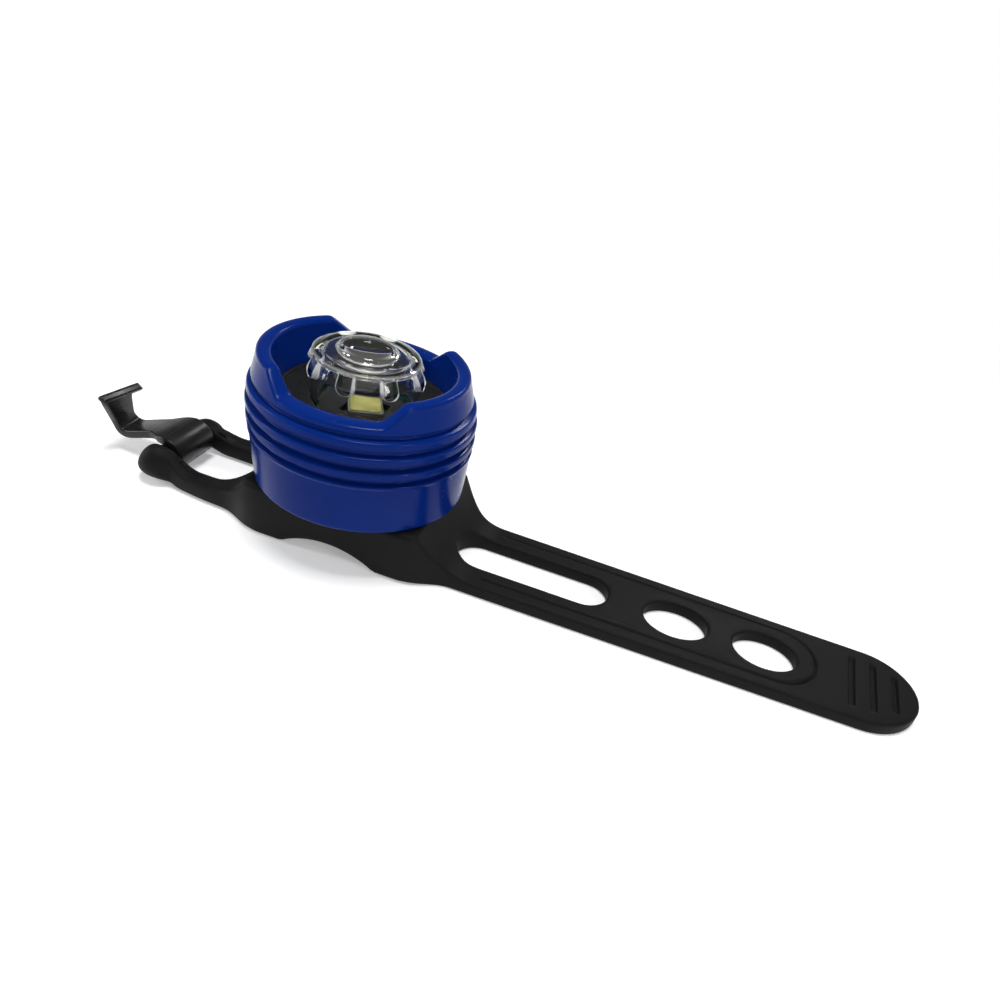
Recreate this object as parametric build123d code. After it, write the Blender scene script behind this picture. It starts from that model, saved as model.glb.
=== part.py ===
"""Bicycle headlight: a small round lamp on a rubber strap that wraps round a handlebar.

Sizes are millimetres. +Z points up along the lamp's axis, +X runs along the strap
towards its free tip, and the origin lies on the lamp's axis in the plane of the
saddle's two feet, in the mouth of the arch that takes the handlebar.
"""
from build123d import *
import math
import os

os.makedirs("parts", exist_ok=True)

# Clearances
SEAT = 0.05
RUN = 0.15
CUT = 1.0
BITE = 0.1

# Strap: saddle under the lamp
SADDLE_H = 8.2
SADDLE_HALF_W = 10.5
SADDLE_FLAT = 12.5
FLARE_LEN = 5.5
SLOPE_LEN = 8.0
SLOPE_BOW_X = 1.8
SLOPE_BOW_Z = 3.2
SLOPE_RUNOUT = 4.2
BAR_R = 12.7
ARCH_H = 2.1

# Strap: tail, measured along X from the saddle
TAIL_T = 2.1
TAIL_HALF_W = 7.95
SLOT_SETBACK = 3.0
SLOT_LEN = 23.8
SLOT_HALF_W = 3.6
BRIDGE = 5.7
HOLES = 2
HOLE_RX = 5.0
HOLE_RY = 3.9
HOLE_PITCH = 13.9
TIP_REACH = 23.9
TIP_LEN = 8.8
LINE_INSET = 1.75
LINE_W = 0.4
LINE_DEPTH = 0.3
LINE_START = 0.5
LINE_END_GAP = 15.8
GRIPS = 3
GRIP_GAP = 3.8
GRIP_PITCH = 3.35
GRIP_INSET = 2.6
GRIP_W = 1.0
GRIP_DEPTH = 0.5

# Hook
HOOK_T = 1.2
HOOK_HALF_W = 4.0
HOOK_FIT = 0.08
HOOK_SIDE_GAP = 0.4
HOOK_REACH = 9.9
HOOK_RISE = 5.8
FLOOR_RISE = 0.1
FLOOR_LEN = 2.5
FLOOR_SLOPE = 0.35
WALL_FOOT = 1.8
CORNER_CUT = 0.35
BARB_LEN = 1.7
BARB_T = 1.0
BARB_ANGLE = 39.0
NECK_HALF_W = 2.3
NECK_LEN = 6.6
WRAP_FROM = -55.0
WRAP_TO = 130.0

# Strap: loop that carries the hook
LOOP_T = 2.7
LOOP_LIFT = 0.3
LOOP_LEN = 16.1
LOOP_HALF_W = 7.9
LOOP_TAPER = 1.6
LOOP_RISE_LEN = 6.2
KNOB_R = 2.8
KNOB_HALF_LEN = 8.1
FAR_KNOB_TOP = 4.5
PIN_R = 1.4
GAP_SETBACK = 4.0
GAP_CORNER = 0.5

# Coin cells and the cradle round them
CELL_R = 10.0
CELL_H = 3.2
CELL_CAP_R = 8.7
CELL_STEP = 0.25
CELLS = 2
CRADLE_WALL = 0.85
CRADLE_FIT = 0.15
CRADLE_GAP = 0.1
CATCH_LEN = 0.35
CATCH_HALF_W = 1.5
CRADLE_RISE = 0.55

# Sheet contacts
SHEET = 0.3
CONTACT_RISE = 0.2
PAD_INSET = 2.0
PRONG_R = 4.0
PRONG_LEN = 1.5
PRONG_HALF_W = 1.0
STRIP_HALF_W = 1.5
STRIP_GAP = 0.3
LEAF_GAP = 0.05
LEAF_HALF_W = 1.0
LEAF_FOOT = 2.0
LEAF_REACH = 3.0
CENTRE_LEAF_X = -1.5
OUTER_LEAF_INSET = 0.8
OUTER_LEAF_FOOT = 1.6

# Base plug, held by its flange in the strap
PLUG_FLANGE_R = 9.3
PLUG_FLANGE_T = 1.5
LIP_T = 1.6
PLUG_NECK_R = 7.5
PLATE_T = 0.9
PLUG_WALL = 1.3
THREAD_PITCH = 2.0
THREAD_TURNS = 2.0

# Lamp housing
THREAD_FIT = 0.15
SKIRT_WALL = 1.85
SKIRT_ROUND = 0.5
THREAD_HEADROOM = 0.35
CHAMBER_STEP = 0.4
BAND_DROP = 2.0
BAND_FLARE = 0.45
RIB_PROUD = 0.75
RIB_EDGE = 0.4
GROOVES = 4
GROOVE_PITCH = 2.03
GROOVE_W = 0.9
GROOVE_DEPTH = 0.8
SHOULDER_PROUD = 0.3
RIM_INSET = 0.85
RIM_RISE = 5.8
RIM_ROUND = 0.85
RIM_WALL = 1.75
DISC_WALL = 2.15
LEDGE_T = 0.9
NOTCH_DEPTH = 2.5
NOTCH_HALF_W = 6.2
NOTCH_TURN = 6.0

# Seal ring in the skirt of the housing
RING_RISE = 1.05
RING_CORD_R = 0.4
RING_GAP = 0.07

# Circuit board and its two screws
CELL_TO_BOARD = 1.25
BOARD_T = 0.8
BOARD_GAP = 0.2
SCREW_EDGE = 1.3
SCREW_R = 0.7
SCREW_HEAD_R = 1.35
SCREW_HEAD_H = 0.55
SCREW_LEN = 1.5
SCREW_FIT = 0.1
SCREW_ANGLES = (90, 270)
LEDGE_MARGIN = 1.0

# What the board carries
LED_W = 5.0
LED_H = 1.6
PHOSPHOR_R = 1.9
PHOSPHOR_H = 0.25
MASK_GAP = 0.3
MASK_T = 0.3
MASK_H = 1.1
MASK_WALL = 0.5
MASK_WINDOW_GAP = 0.1
SWITCH_INSET = 1.8
SWITCH_L = 2.8
SWITCH_W = 3.4
SWITCH_H = 0.7
SWITCH_FLOOR = 0.1
PLUNGER_R = 0.8
CHIP_L = 4.0
CHIP_W = 3.0
CHIP_H = 0.9
CHIP_X = 4.5
CHIP_Y = 4.0
RESISTORS = 3
RESISTOR_L = 1.6
RESISTOR_W = 0.8
RESISTOR_H = 0.45
RESISTOR_X = -5.0
RESISTOR_Y = 1.3
RESISTOR_PITCH = 1.6

# Lens, which is also the push button
TRAVEL = 0.45
LENS_R = 7.05
LENS_WALL = 0.75
LENS_H = 7.7
LENS_FLANGE_T = 0.5
LENS_FLANGE_GRIP = 0.4
CAP_PROUD = 0.65
CAP_H = 1.2
CAP_EDGE = 0.3
CAP_UNDERCUT = 0.5
CAP_TOP_INSET = 2.2
CAP_SKIN = 1.3
EYE_R = 3.9
EYE_H = 1.0
EYE_SINK = 0.9
TEETH = 8
TOOTH_W = 2.2
TOOTH_DROP = 2.1
TOOTH_ROOT = 0.3
TOOTH_TURN = 3.5

# Gasket round the lens
GASKET_LIP = 0.35
GASKET_RIM_H = 0.3
GASKET_RIM_W = 0.5

# Places along X that follow from the sizes of the strap and hook
FLARE_X = SADDLE_FLAT + FLARE_LEN
SLOPE_X = SADDLE_FLAT + SLOPE_LEN
SLOT_X0 = SADDLE_FLAT + SLOT_SETBACK
SLOT_X1 = SLOT_X0 + SLOT_LEN
HOLE_X0 = SLOT_X1 + BRIDGE + HOLE_RX
TIP_X = HOLE_X0 + (HOLES - 1) * HOLE_PITCH + TIP_REACH
PIN_X = -(SADDLE_FLAT + LOOP_LEN)
PIN_Z = LOOP_LIFT + KNOB_R
GAP_X1 = -(SADDLE_FLAT + GAP_SETBACK)
GAP_HALF_W = HOOK_HALF_W + HOOK_SIDE_GAP
SLEEVE_IN_R = PIN_R + HOOK_FIT
SLEEVE_OUT_R = SLEEVE_IN_R + HOOK_T

# Radii that follow from the coin cells outwards
CRADLE_IN_R = CELL_R + CRADLE_FIT
CRADLE_R = CRADLE_IN_R + CRADLE_WALL
PLUG_R = CRADLE_R + CRADLE_GAP + PLUG_WALL
THREAD_BORE_R = PLUG_R + THREAD_FIT
HOUSING_R = THREAD_BORE_R + SKIRT_WALL
RIB_R = HOUSING_R + RIB_PROUD
RIM_R = HOUSING_R - RIM_INSET
RIM_BORE_R = RIM_R - RIM_WALL
DISC_BORE_R = RIM_R - DISC_WALL
CHAMBER_R = PLUG_R - CHAMBER_STEP
BOARD_R = CHAMBER_R - BOARD_GAP
SCREW_AT_R = BOARD_R - SCREW_EDGE
LEDGE_BORE_R = SCREW_AT_R - LEDGE_MARGIN
LENS_FLANGE_R = LEDGE_BORE_R + LENS_FLANGE_GRIP
LENS_BORE_R = LENS_R - LENS_WALL
MASK_R = LENS_BORE_R - MASK_GAP
SWITCH_X = SWITCH_INSET - LEDGE_BORE_R
RING_R = PLUG_R + RING_GAP + RING_CORD_R
STRIP_X = CRADLE_IN_R + CRADLE_GAP

# Heights that follow from the stack of pieces
POCKET_TOP = SADDLE_H - LIP_T
BASE_Z = SADDLE_H + SEAT
PLATE_TOP = BASE_Z + PLATE_T
CELL_Z = PLATE_TOP + SHEET + CONTACT_RISE
CELL_TOP = CELL_Z + CELLS * CELL_H
CRADLE_TOP = CELL_TOP + CRADLE_RISE
BOARD_Z = CELL_TOP + CELL_TO_BOARD
BOARD_TOP = BOARD_Z + BOARD_T
LEDGE_TOP = BOARD_TOP + LEDGE_T
LENS_Z0 = LEDGE_TOP + SEAT + TRAVEL
FLANGE_TOP = LENS_Z0 + LENS_FLANGE_T
GASKET_TOP = FLANGE_TOP + LEAF_GAP + GASKET_LIP
CAP_Z1 = LENS_Z0 + LENS_H
CAP_Z0 = CAP_Z1 - CAP_H
RIM_TOP_Z = GASKET_TOP + RIM_RISE
NOTCH_Z = RIM_TOP_Z - NOTCH_DEPTH
BAND_TOP_Z = BOARD_Z - BAND_DROP
GROOVE_Z0 = BAND_TOP_Z + RIB_EDGE + GROOVE_W / 2
LIFT = THREAD_PITCH * THREAD_TURNS
THREAD_TOP = BASE_Z + LIFT
RING_Z = BASE_Z + RING_RISE


def disc(radius, z0, z1, x=0.0, y=0.0):
    """Upright cylinder from z0 to z1."""
    return Pos(x, y, (z0 + z1) / 2) * Cylinder(radius, z1 - z0)


def ring(r_out, r_in, z0, z1):
    """Upright tube from z0 to z1."""
    return disc(r_out, z0, z1) - disc(r_in, z0 - CUT, z1 + CUT)


def block(x0, x1, y0, y1, z0, z1):
    """Box between two corners."""
    at = Pos((x0 + x1) / 2, (y0 + y1) / 2, (z0 + z1) / 2)
    return at * Box(x1 - x0, y1 - y0, z1 - z0)


def strip(x0, x1, half_w, z0, z1):
    """Box that is centred on the XZ plane."""
    return block(x0, x1, -half_w, half_w, z0, z1)


def rod_across(x, z, radius, half_len):
    """Cylinder along Y."""
    return Pos(x, 0, z) * Rot(90, 0, 0) * Cylinder(radius, 2 * half_len)


def side_prism(points, half_w):
    """Prism along Y from (x, z) points."""
    with BuildPart() as piece:
        with BuildSketch(Plane.XZ):
            with BuildLine():
                Polyline(*points, close=True)
            make_face()
        extrude(amount=half_w, both=True)
    return piece.part


def turned(points):
    """Solid of revolution about Z from (radius, height) points."""
    with BuildPart() as piece:
        with BuildSketch(Plane.XZ):
            with BuildLine():
                Polyline(*points, close=True)
            make_face()
        revolve(axis=Axis.Z)
    return piece.part


def slot_prism(x0, x1, half_w, z0, z1, corner_r):
    """Upright prism of a slot with rounded corners."""
    with BuildPart() as piece:
        with BuildSketch(Plane.XY.offset(z0)):
            with Locations(((x0 + x1) / 2, 0)):
                RectangleRounded(x1 - x0, 2 * half_w, min(corner_r, half_w * 0.999))
        extrude(amount=z1 - z0)
    return piece.part


def save(node, shape):
    """Name the piece and write it to its own file."""
    shape.label = node
    export_step(shape, f"parts/{node}.step")
    print(node, "solids", len(shape.solids()), "volume", round(shape.volume, 2))
    return shape


def strap_plan():
    """Strap seen from above: round tip, tail, flared saddle and tapered loop."""
    flare_mid = SADDLE_FLAT + FLARE_LEN / 2
    loop_end = (PIN_X, LOOP_HALF_W - LOOP_TAPER)
    with BuildPart() as piece:
        with BuildSketch():
            with BuildLine():
                EllipticalCenterArc((TIP_X - TIP_LEN, 0), TIP_LEN, TAIL_HALF_W, start_angle=0, arc_size=90)
                Line((TIP_X - TIP_LEN, TAIL_HALF_W), (FLARE_X, TAIL_HALF_W))
                Bezier((FLARE_X, TAIL_HALF_W), (flare_mid, TAIL_HALF_W),
                       (flare_mid, SADDLE_HALF_W), (SADDLE_FLAT, SADDLE_HALF_W))
                Line((SADDLE_FLAT, SADDLE_HALF_W), (-SADDLE_FLAT, SADDLE_HALF_W))
                Bezier((-SADDLE_FLAT, SADDLE_HALF_W), (-flare_mid, SADDLE_HALF_W),
                       (-flare_mid, LOOP_HALF_W), (-FLARE_X, LOOP_HALF_W))
                Bezier((-FLARE_X, LOOP_HALF_W), ((PIN_X - FLARE_X) / 2, LOOP_HALF_W), loop_end)
                Line(loop_end, (PIN_X, 0))
                Line((PIN_X, 0), (TIP_X, 0))
            make_face()
            mirror(about=Plane.XZ)
        extrude(amount=SADDLE_H)
    return piece.part


def strap_side():
    """Strap seen from the side: thin tail, arched saddle and loop that rises to its knobs."""
    arch_half = math.sqrt(BAR_R ** 2 - (BAR_R - ARCH_H) ** 2)
    far_x = TIP_X + CUT
    knob_top = PIN_Z + KNOB_R
    rise_x = PIN_X + LOOP_RISE_LEN
    with BuildPart() as piece:
        with BuildSketch(Plane.XZ):
            with BuildLine():
                Polyline((far_x, TAIL_T), (far_x, 0), (arch_half, 0))
                ThreePointArc((arch_half, 0), (0, ARCH_H), (-arch_half, 0))
                Line((-arch_half, 0), (-SADDLE_FLAT, 0))
                Bezier((-SADDLE_FLAT, 0), (-SADDLE_FLAT - SLOPE_BOW_X, 0),
                       (-FLARE_X + CUT, LOOP_LIFT), (-FLARE_X - CUT, LOOP_LIFT))
                Polyline((-FLARE_X - CUT, LOOP_LIFT), (PIN_X, LOOP_LIFT), (PIN_X, knob_top))
                Bezier((PIN_X, knob_top), (PIN_X + KNOB_R, knob_top),
                       (PIN_X + LOOP_RISE_LEN / 2, LOOP_T), (rise_x, LOOP_T))
                Line((rise_x, LOOP_T), (-SLOPE_X, LOOP_T))
                Bezier((-SLOPE_X, LOOP_T), (-SLOPE_X + SLOPE_RUNOUT, LOOP_T),
                       (-SADDLE_FLAT - SLOPE_BOW_X, SADDLE_H - SLOPE_BOW_Z), (-SADDLE_FLAT, SADDLE_H))
                Line((-SADDLE_FLAT, SADDLE_H), (SADDLE_FLAT, SADDLE_H))
                Bezier((SADDLE_FLAT, SADDLE_H), (SADDLE_FLAT + SLOPE_BOW_X, SADDLE_H - SLOPE_BOW_Z),
                       (SLOPE_X - SLOPE_RUNOUT, TAIL_T), (SLOPE_X, TAIL_T))
                Line((SLOPE_X, TAIL_T), (far_x, TAIL_T))
            make_face()
        extrude(amount=SADDLE_HALF_W + CUT, both=True)
    return piece.part


def knobs():
    """Round knobs at the ends of the loop's arms, in one roll before the loop is cut."""
    half = KNOB_HALF_LEN - KNOB_R
    body = rod_across(PIN_X, PIN_Z, KNOB_R, half)
    for side in (-1, 1):
        body += Pos(PIN_X, side * half, PIN_Z) * Sphere(KNOB_R)
    return body


def above_far_arm():
    """What is cut off above the far arm, which ends lower than the near one."""
    rise_x = PIN_X + LOOP_RISE_LEN
    start_x = PIN_X - KNOB_R - CUT
    over = PIN_Z + KNOB_R + CUT
    with BuildPart() as piece:
        with BuildSketch(Plane.XZ):
            with BuildLine():
                Line((start_x, FAR_KNOB_TOP), (PIN_X, FAR_KNOB_TOP))
                Bezier((PIN_X, FAR_KNOB_TOP), (PIN_X + KNOB_R, FAR_KNOB_TOP),
                       (PIN_X + LOOP_RISE_LEN / 2, LOOP_T), (rise_x, LOOP_T))
                Polyline((rise_x, LOOP_T), (rise_x, over), (start_x, over), (start_x, FAR_KNOB_TOP))
            make_face()
        extrude(amount=SADDLE_HALF_W, both=True)
    return piece.part & block(start_x, rise_x, 0, SADDLE_HALF_W, 0, over)


def oval_hole(x):
    """Prism that cuts one oval hole through the tail."""
    with BuildPart() as hole:
        with BuildSketch(Plane.XY.offset(-CUT)):
            with Locations((x, 0)):
                Ellipse(HOLE_RX, HOLE_RY)
        extrude(amount=TAIL_T + 2 * CUT)
    return hole.part


def inset_line():
    """Shallow groove that follows the tail's edge and closes in an arc before the tip."""
    start = SLOPE_X + LINE_START
    end = TIP_X - LINE_END_GAP
    half_w = TAIL_HALF_W - LINE_INSET
    deep = TAIL_T - LINE_DEPTH
    groove = slot_prism(start - TIP_LEN, end, half_w, deep, TAIL_T + CUT, half_w)
    groove -= slot_prism(start - TIP_LEN, end - LINE_W, half_w - LINE_W, 0, TAIL_T + 2 * CUT, half_w)
    return groove & strip(start, TIP_X, TAIL_HALF_W, 0, TAIL_T + CUT)


def grip(index):
    """Cross groove near the tip, as long as the rounded tip allows there."""
    x = TIP_X - GRIP_GAP - index * GRIP_PITCH
    along = max(0.0, x - (TIP_X - TIP_LEN)) / TIP_LEN
    half_w = TAIL_HALF_W * math.sqrt(1 - along ** 2) - GRIP_INSET
    return strip(x - GRIP_W / 2, x + GRIP_W / 2, half_w, TAIL_T - GRIP_DEPTH, TAIL_T + CUT)


def make_strap():
    """Rubber strap in one piece, with the pocket that grips the base plug."""
    over = SADDLE_H + CUT
    body = strap_plan() & strap_side()
    body += knobs()
    body -= above_far_arm()
    gap_start = PIN_X - KNOB_R - GAP_HALF_W
    body -= slot_prism(gap_start, GAP_X1, GAP_HALF_W, -CUT, over, GAP_HALF_W - GAP_CORNER)
    body += rod_across(PIN_X, PIN_Z, PIN_R, GAP_HALF_W + BITE)
    body -= slot_prism(SLOT_X0, SLOT_X1, SLOT_HALF_W, -CUT, over, SLOT_HALF_W)
    for index in range(HOLES):
        body -= oval_hole(HOLE_X0 + index * HOLE_PITCH)
    body -= inset_line()
    for index in range(GRIPS):
        body -= grip(index)
    body -= disc(PLUG_FLANGE_R + SEAT, POCKET_TOP - PLUG_FLANGE_T - SEAT, POCKET_TOP)
    body -= disc(PLUG_NECK_R + SEAT, POCKET_TOP - BITE, over)
    return body


def hook_side():
    """Hook seen from the side: floor and wall in one curve, then the barb at the top."""
    wall_x = PIN_X - HOOK_REACH
    wall_mid = wall_x + HOOK_T / 2
    floor_z = PIN_Z + FLOOR_RISE
    bend = (wall_mid + FLOOR_LEN, floor_z)
    wall_start = (wall_mid, floor_z + WALL_FOOT)
    sleeve_mid = PIN_Z + (SLEEVE_IN_R + SLEEVE_OUT_R) / 2
    slope = math.radians(BARB_ANGLE)
    top = PIN_Z + HOOK_RISE
    apex = (wall_x + CORNER_CUT, top)
    tip = (apex[0] + BARB_LEN * math.cos(slope), top - BARB_LEN * math.sin(slope))
    under = (tip[0] - BARB_T * math.sin(slope), tip[1] - BARB_T * math.cos(slope))
    inner_x = wall_x + HOOK_T
    low_z = wall_start[1] - BITE
    with BuildPart() as piece:
        with BuildSketch(Plane.XZ):
            with BuildLine():
                Bezier((PIN_X, sleeve_mid), (PIN_X - SLEEVE_OUT_R, sleeve_mid),
                       (bend[0] + SLEEVE_OUT_R, floor_z + SLEEVE_OUT_R * FLOOR_SLOPE), bend)
                Bezier(bend, (wall_mid + FLOOR_LEN / 2, floor_z - FLOOR_SLOPE * FLOOR_LEN / 2),
                       (wall_mid, floor_z), wall_start)
            trace(line_width=HOOK_T)
        extrude(amount=HOOK_HALF_W, both=True)
    wall = [(wall_x, low_z), (wall_x, top - CORNER_CUT), apex, tip, under,
            (inner_x, under[1] - CORNER_CUT), (inner_x, low_z)]
    return piece.part + side_prism(wall, HOOK_HALF_W)


def hook_sleeve():
    """Open sleeve round the pin, from WRAP_FROM round over the top to WRAP_TO."""
    reach = 3 * SLEEVE_OUT_R
    mouth = [(PIN_X, PIN_Z)]
    for angle in (WRAP_FROM, (WRAP_FROM + WRAP_TO - 360) / 2, WRAP_TO - 360):
        turn = math.radians(angle)
        mouth.append((PIN_X + reach * math.cos(turn), PIN_Z + reach * math.sin(turn)))
    return rod_across(PIN_X, PIN_Z, SLEEVE_OUT_R, HOOK_HALF_W) - side_prism(mouth, HOOK_HALF_W + CUT)


def barb_plate():
    """Everything above the underside of the slanted barb."""
    wall_x = PIN_X - HOOK_REACH
    slope = math.radians(BARB_ANGLE)
    corner_x = wall_x + CORNER_CUT - BARB_T * math.sin(slope)
    corner_z = PIN_Z + HOOK_RISE - BARB_T * math.cos(slope)
    reach = BARB_LEN + 2 * BARB_T
    over = PIN_Z + HOOK_RISE + 4 * CUT
    return side_prism([(corner_x - reach, corner_z + reach * math.tan(slope)),
                       (corner_x + reach, corner_z - reach * math.tan(slope)),
                       (corner_x + reach, over), (corner_x - reach, over)], HOOK_HALF_W + 2 * CUT)


def make_hook():
    """Hook with a narrow neck, so that it passes through a hole in the tail."""
    wall_x = PIN_X - HOOK_REACH
    neck_x = wall_x + NECK_LEN
    wide_x = PIN_X - HOOK_T
    wide_y = HOOK_HALF_W + BITE
    out_y = HOOK_HALF_W + CUT
    body = hook_side() + hook_sleeve()
    plate = barb_plate()
    for side in (-1, 1):
        with BuildPart() as bite:
            with BuildSketch(Plane.XY):
                with BuildLine():
                    Polyline((wall_x - CUT, side * NECK_HALF_W), (neck_x, side * NECK_HALF_W),
                             (wide_x, side * wide_y), (wall_x - CUT, side * out_y), close=True)
                make_face()
            extrude(amount=PIN_Z + HOOK_RISE + CUT)
        body -= bite.part - plate
    return body - rod_across(PIN_X, PIN_Z, SLEEVE_IN_R, HOOK_HALF_W + CUT)


def make_base():
    """Base plug: flange in the strap, neck, plate and threaded wall."""
    body = disc(PLUG_FLANGE_R, POCKET_TOP - PLUG_FLANGE_T, POCKET_TOP)
    body += disc(PLUG_NECK_R, POCKET_TOP - BITE, BASE_Z + BITE)
    body += disc(PLUG_R, BASE_Z, PLATE_TOP)
    body += ring(PLUG_R, PLUG_R - PLUG_WALL, BASE_Z, THREAD_TOP)
    return body


def make_cell(index):
    """Coin cell with the step round its upper, smaller terminal."""
    z0 = CELL_Z + index * CELL_H
    return disc(CELL_R, z0, z0 + CELL_H - CELL_STEP) + disc(CELL_CAP_R, z0, z0 + CELL_H)


def make_cradle():
    """Ring that holds the cells, with three catches over the upper one and a slot for the strip."""
    body = ring(CRADLE_R, CRADLE_IN_R, PLATE_TOP, CRADLE_TOP)
    catch = ring(CRADLE_IN_R + BITE, CELL_R - CATCH_LEN, CELL_TOP + SEAT, CRADLE_TOP)
    for angle in (60, 180, 300):
        body += catch & (Rot(0, 0, angle) * strip(0, CRADLE_R, CATCH_HALF_W, 0, CRADLE_TOP + CUT))
    slot_half_w = STRIP_HALF_W + STRIP_GAP
    return body - strip(CELL_R - CUT, CRADLE_R + CUT, slot_half_w, PLATE_TOP, CRADLE_TOP + CUT)


def make_lower_contact():
    """Sheet contact under the cells, with three prongs and a strip that rises beside them."""
    top = PLATE_TOP + SHEET
    body = disc(CELL_R - PAD_INSET, PLATE_TOP, top)
    body += strip(0, STRIP_X + SHEET, STRIP_HALF_W, PLATE_TOP, top)
    body += strip(STRIP_X, STRIP_X + SHEET, STRIP_HALF_W, PLATE_TOP, CRADLE_TOP)
    for angle in (90, 210, 330):
        body += Rot(0, 0, angle) * strip(PRONG_R, PRONG_R + PRONG_LEN, PRONG_HALF_W, PLATE_TOP, CELL_Z)
    return body


def housing_section():
    """Housing turned from its section: skirt, grip band, sloping rim, disc seat, ledge and chamber."""
    grip_top = GROOVE_Z0 + (GROOVES - 1) * GROOVE_PITCH + GROOVE_W / 2
    rim_low = RIM_TOP_Z - RIM_ROUND
    with BuildPart() as piece:
        with BuildSketch(Plane.XZ):
            with BuildLine():
                Line((THREAD_BORE_R, BASE_Z), (HOUSING_R - SKIRT_ROUND, BASE_Z))
                RadiusArc((HOUSING_R - SKIRT_ROUND, BASE_Z), (HOUSING_R, BASE_Z + SKIRT_ROUND), -SKIRT_ROUND)
                Polyline((HOUSING_R, BASE_Z + SKIRT_ROUND), (HOUSING_R + BAND_FLARE, BAND_TOP_Z),
                         (RIB_R, BAND_TOP_Z + RIB_EDGE), (RIB_R, grip_top),
                         (HOUSING_R + SHOULDER_PROUD, grip_top + RIB_EDGE), (RIM_R, rim_low))
                RadiusArc((RIM_R, rim_low), (RIM_R - RIM_ROUND, RIM_TOP_Z), -RIM_ROUND)
                RadiusArc((RIM_R - RIM_ROUND, RIM_TOP_Z), (RIM_BORE_R, rim_low), -RIM_ROUND)
                Polyline((RIM_BORE_R, rim_low), (DISC_BORE_R, GASKET_TOP + GASKET_RIM_H),
                         (DISC_BORE_R, LEDGE_TOP), (LEDGE_BORE_R, LEDGE_TOP), (LEDGE_BORE_R, BOARD_TOP),
                         (CHAMBER_R, BOARD_TOP), (CHAMBER_R, THREAD_TOP + THREAD_HEADROOM + CHAMBER_STEP),
                         (THREAD_BORE_R, THREAD_TOP + THREAD_HEADROOM), (THREAD_BORE_R, BASE_Z))
            make_face()
        revolve(axis=Axis.Z)
    return piece.part


def grip_groove(index):
    """Ring that cuts one groove of the grip: steep sides and a narrow floor."""
    z = GROOVE_Z0 + index * GROOVE_PITCH
    half = GROOVE_W / 2
    floor_r = RIB_R - GROOVE_DEPTH
    outside = RIB_R + CUT
    return turned([(outside, z - 2 * half), (RIB_R, z - half), (floor_r, z - half / 2),
                   (floor_r, z + half / 2), (RIB_R, z + half), (outside, z + 2 * half)])


def make_housing():
    """Screw-on housing with its grooved grip, notched rim, seal groove and two screw holes."""
    body = housing_section()
    for index in range(GROOVES):
        body -= grip_groove(index)
    seat_half = RING_CORD_R + SEAT
    body -= ring(RING_R + seat_half, PLUG_R, RING_Z - seat_half, RING_Z + seat_half)
    over = NOTCH_DEPTH + CUT
    notch = side_prism([(-NOTCH_HALF_W, NOTCH_Z), (NOTCH_HALF_W, NOTCH_Z),
                        (NOTCH_HALF_W + over, NOTCH_Z + over), (-NOTCH_HALF_W - over, NOTCH_Z + over)],
                       RIB_R + CUT)
    body -= Rot(0, 0, NOTCH_TURN) * notch
    hole_top = BOARD_Z + SCREW_LEN + BITE
    for angle in SCREW_ANGLES:
        body -= Rot(0, 0, angle) * disc(SCREW_R + SEAT, BOARD_TOP - CUT, hole_top, SCREW_AT_R)
    return body


def make_seal_ring():
    """O-ring in the skirt of the housing."""
    return Pos(0, 0, RING_Z) * Torus(RING_R, RING_CORD_R)


def make_gasket():
    """Black ring round the lens: it holds the lens flange down and seals it."""
    rim_r = DISC_BORE_R - SEAT
    body = ring(rim_r, LENS_R + RUN, LEDGE_TOP, GASKET_TOP)
    body -= disc(LENS_FLANGE_R + RUN, LEDGE_TOP - CUT, GASKET_TOP - GASKET_LIP)
    return body + ring(rim_r, rim_r - GASKET_RIM_W, GASKET_TOP - BITE, GASKET_TOP + GASKET_RIM_H)


def lens_section():
    """Lens turned from its section: flange, thin wall, thick cap and a bulging eye above and below."""
    under = CAP_Z1 - CAP_SKIN
    cap_r = LENS_R + CAP_PROUD
    cap_top_r = cap_r - CAP_TOP_INSET
    edge_z = CAP_Z0 + CAP_EDGE
    eye_in_r = EYE_R - CAP_UNDERCUT
    with BuildPart() as piece:
        with BuildSketch(Plane.XZ):
            with BuildLine():
                Polyline((LENS_BORE_R, LENS_Z0), (LENS_FLANGE_R, LENS_Z0), (LENS_FLANGE_R, FLANGE_TOP),
                         (LENS_R, FLANGE_TOP), (LENS_R, CAP_Z0 - CAP_UNDERCUT), (cap_r, CAP_Z0),
                         (cap_r, edge_z))
                Bezier((cap_r, edge_z), (cap_r, (edge_z + CAP_Z1) / 2), (cap_top_r + CAP_UNDERCUT, CAP_Z1),
                       (cap_top_r, CAP_Z1))
                Line((cap_top_r, CAP_Z1), (EYE_R, CAP_Z1))
                Bezier((EYE_R, CAP_Z1), (EYE_R, CAP_Z1 + EYE_H * 2 / 3), (EYE_R / 2, CAP_Z1 + EYE_H),
                       (0, CAP_Z1 + EYE_H))
                Line((0, CAP_Z1 + EYE_H), (0, under - EYE_SINK))
                Bezier((0, under - EYE_SINK), (EYE_R / 2, under - EYE_SINK), (eye_in_r - CAP_UNDERCUT, under),
                       (eye_in_r, under))
                Polyline((eye_in_r, under), (LENS_BORE_R, under), (LENS_BORE_R, LENS_Z0))
            make_face()
        revolve(axis=Axis.Z)
    return piece.part


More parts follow.
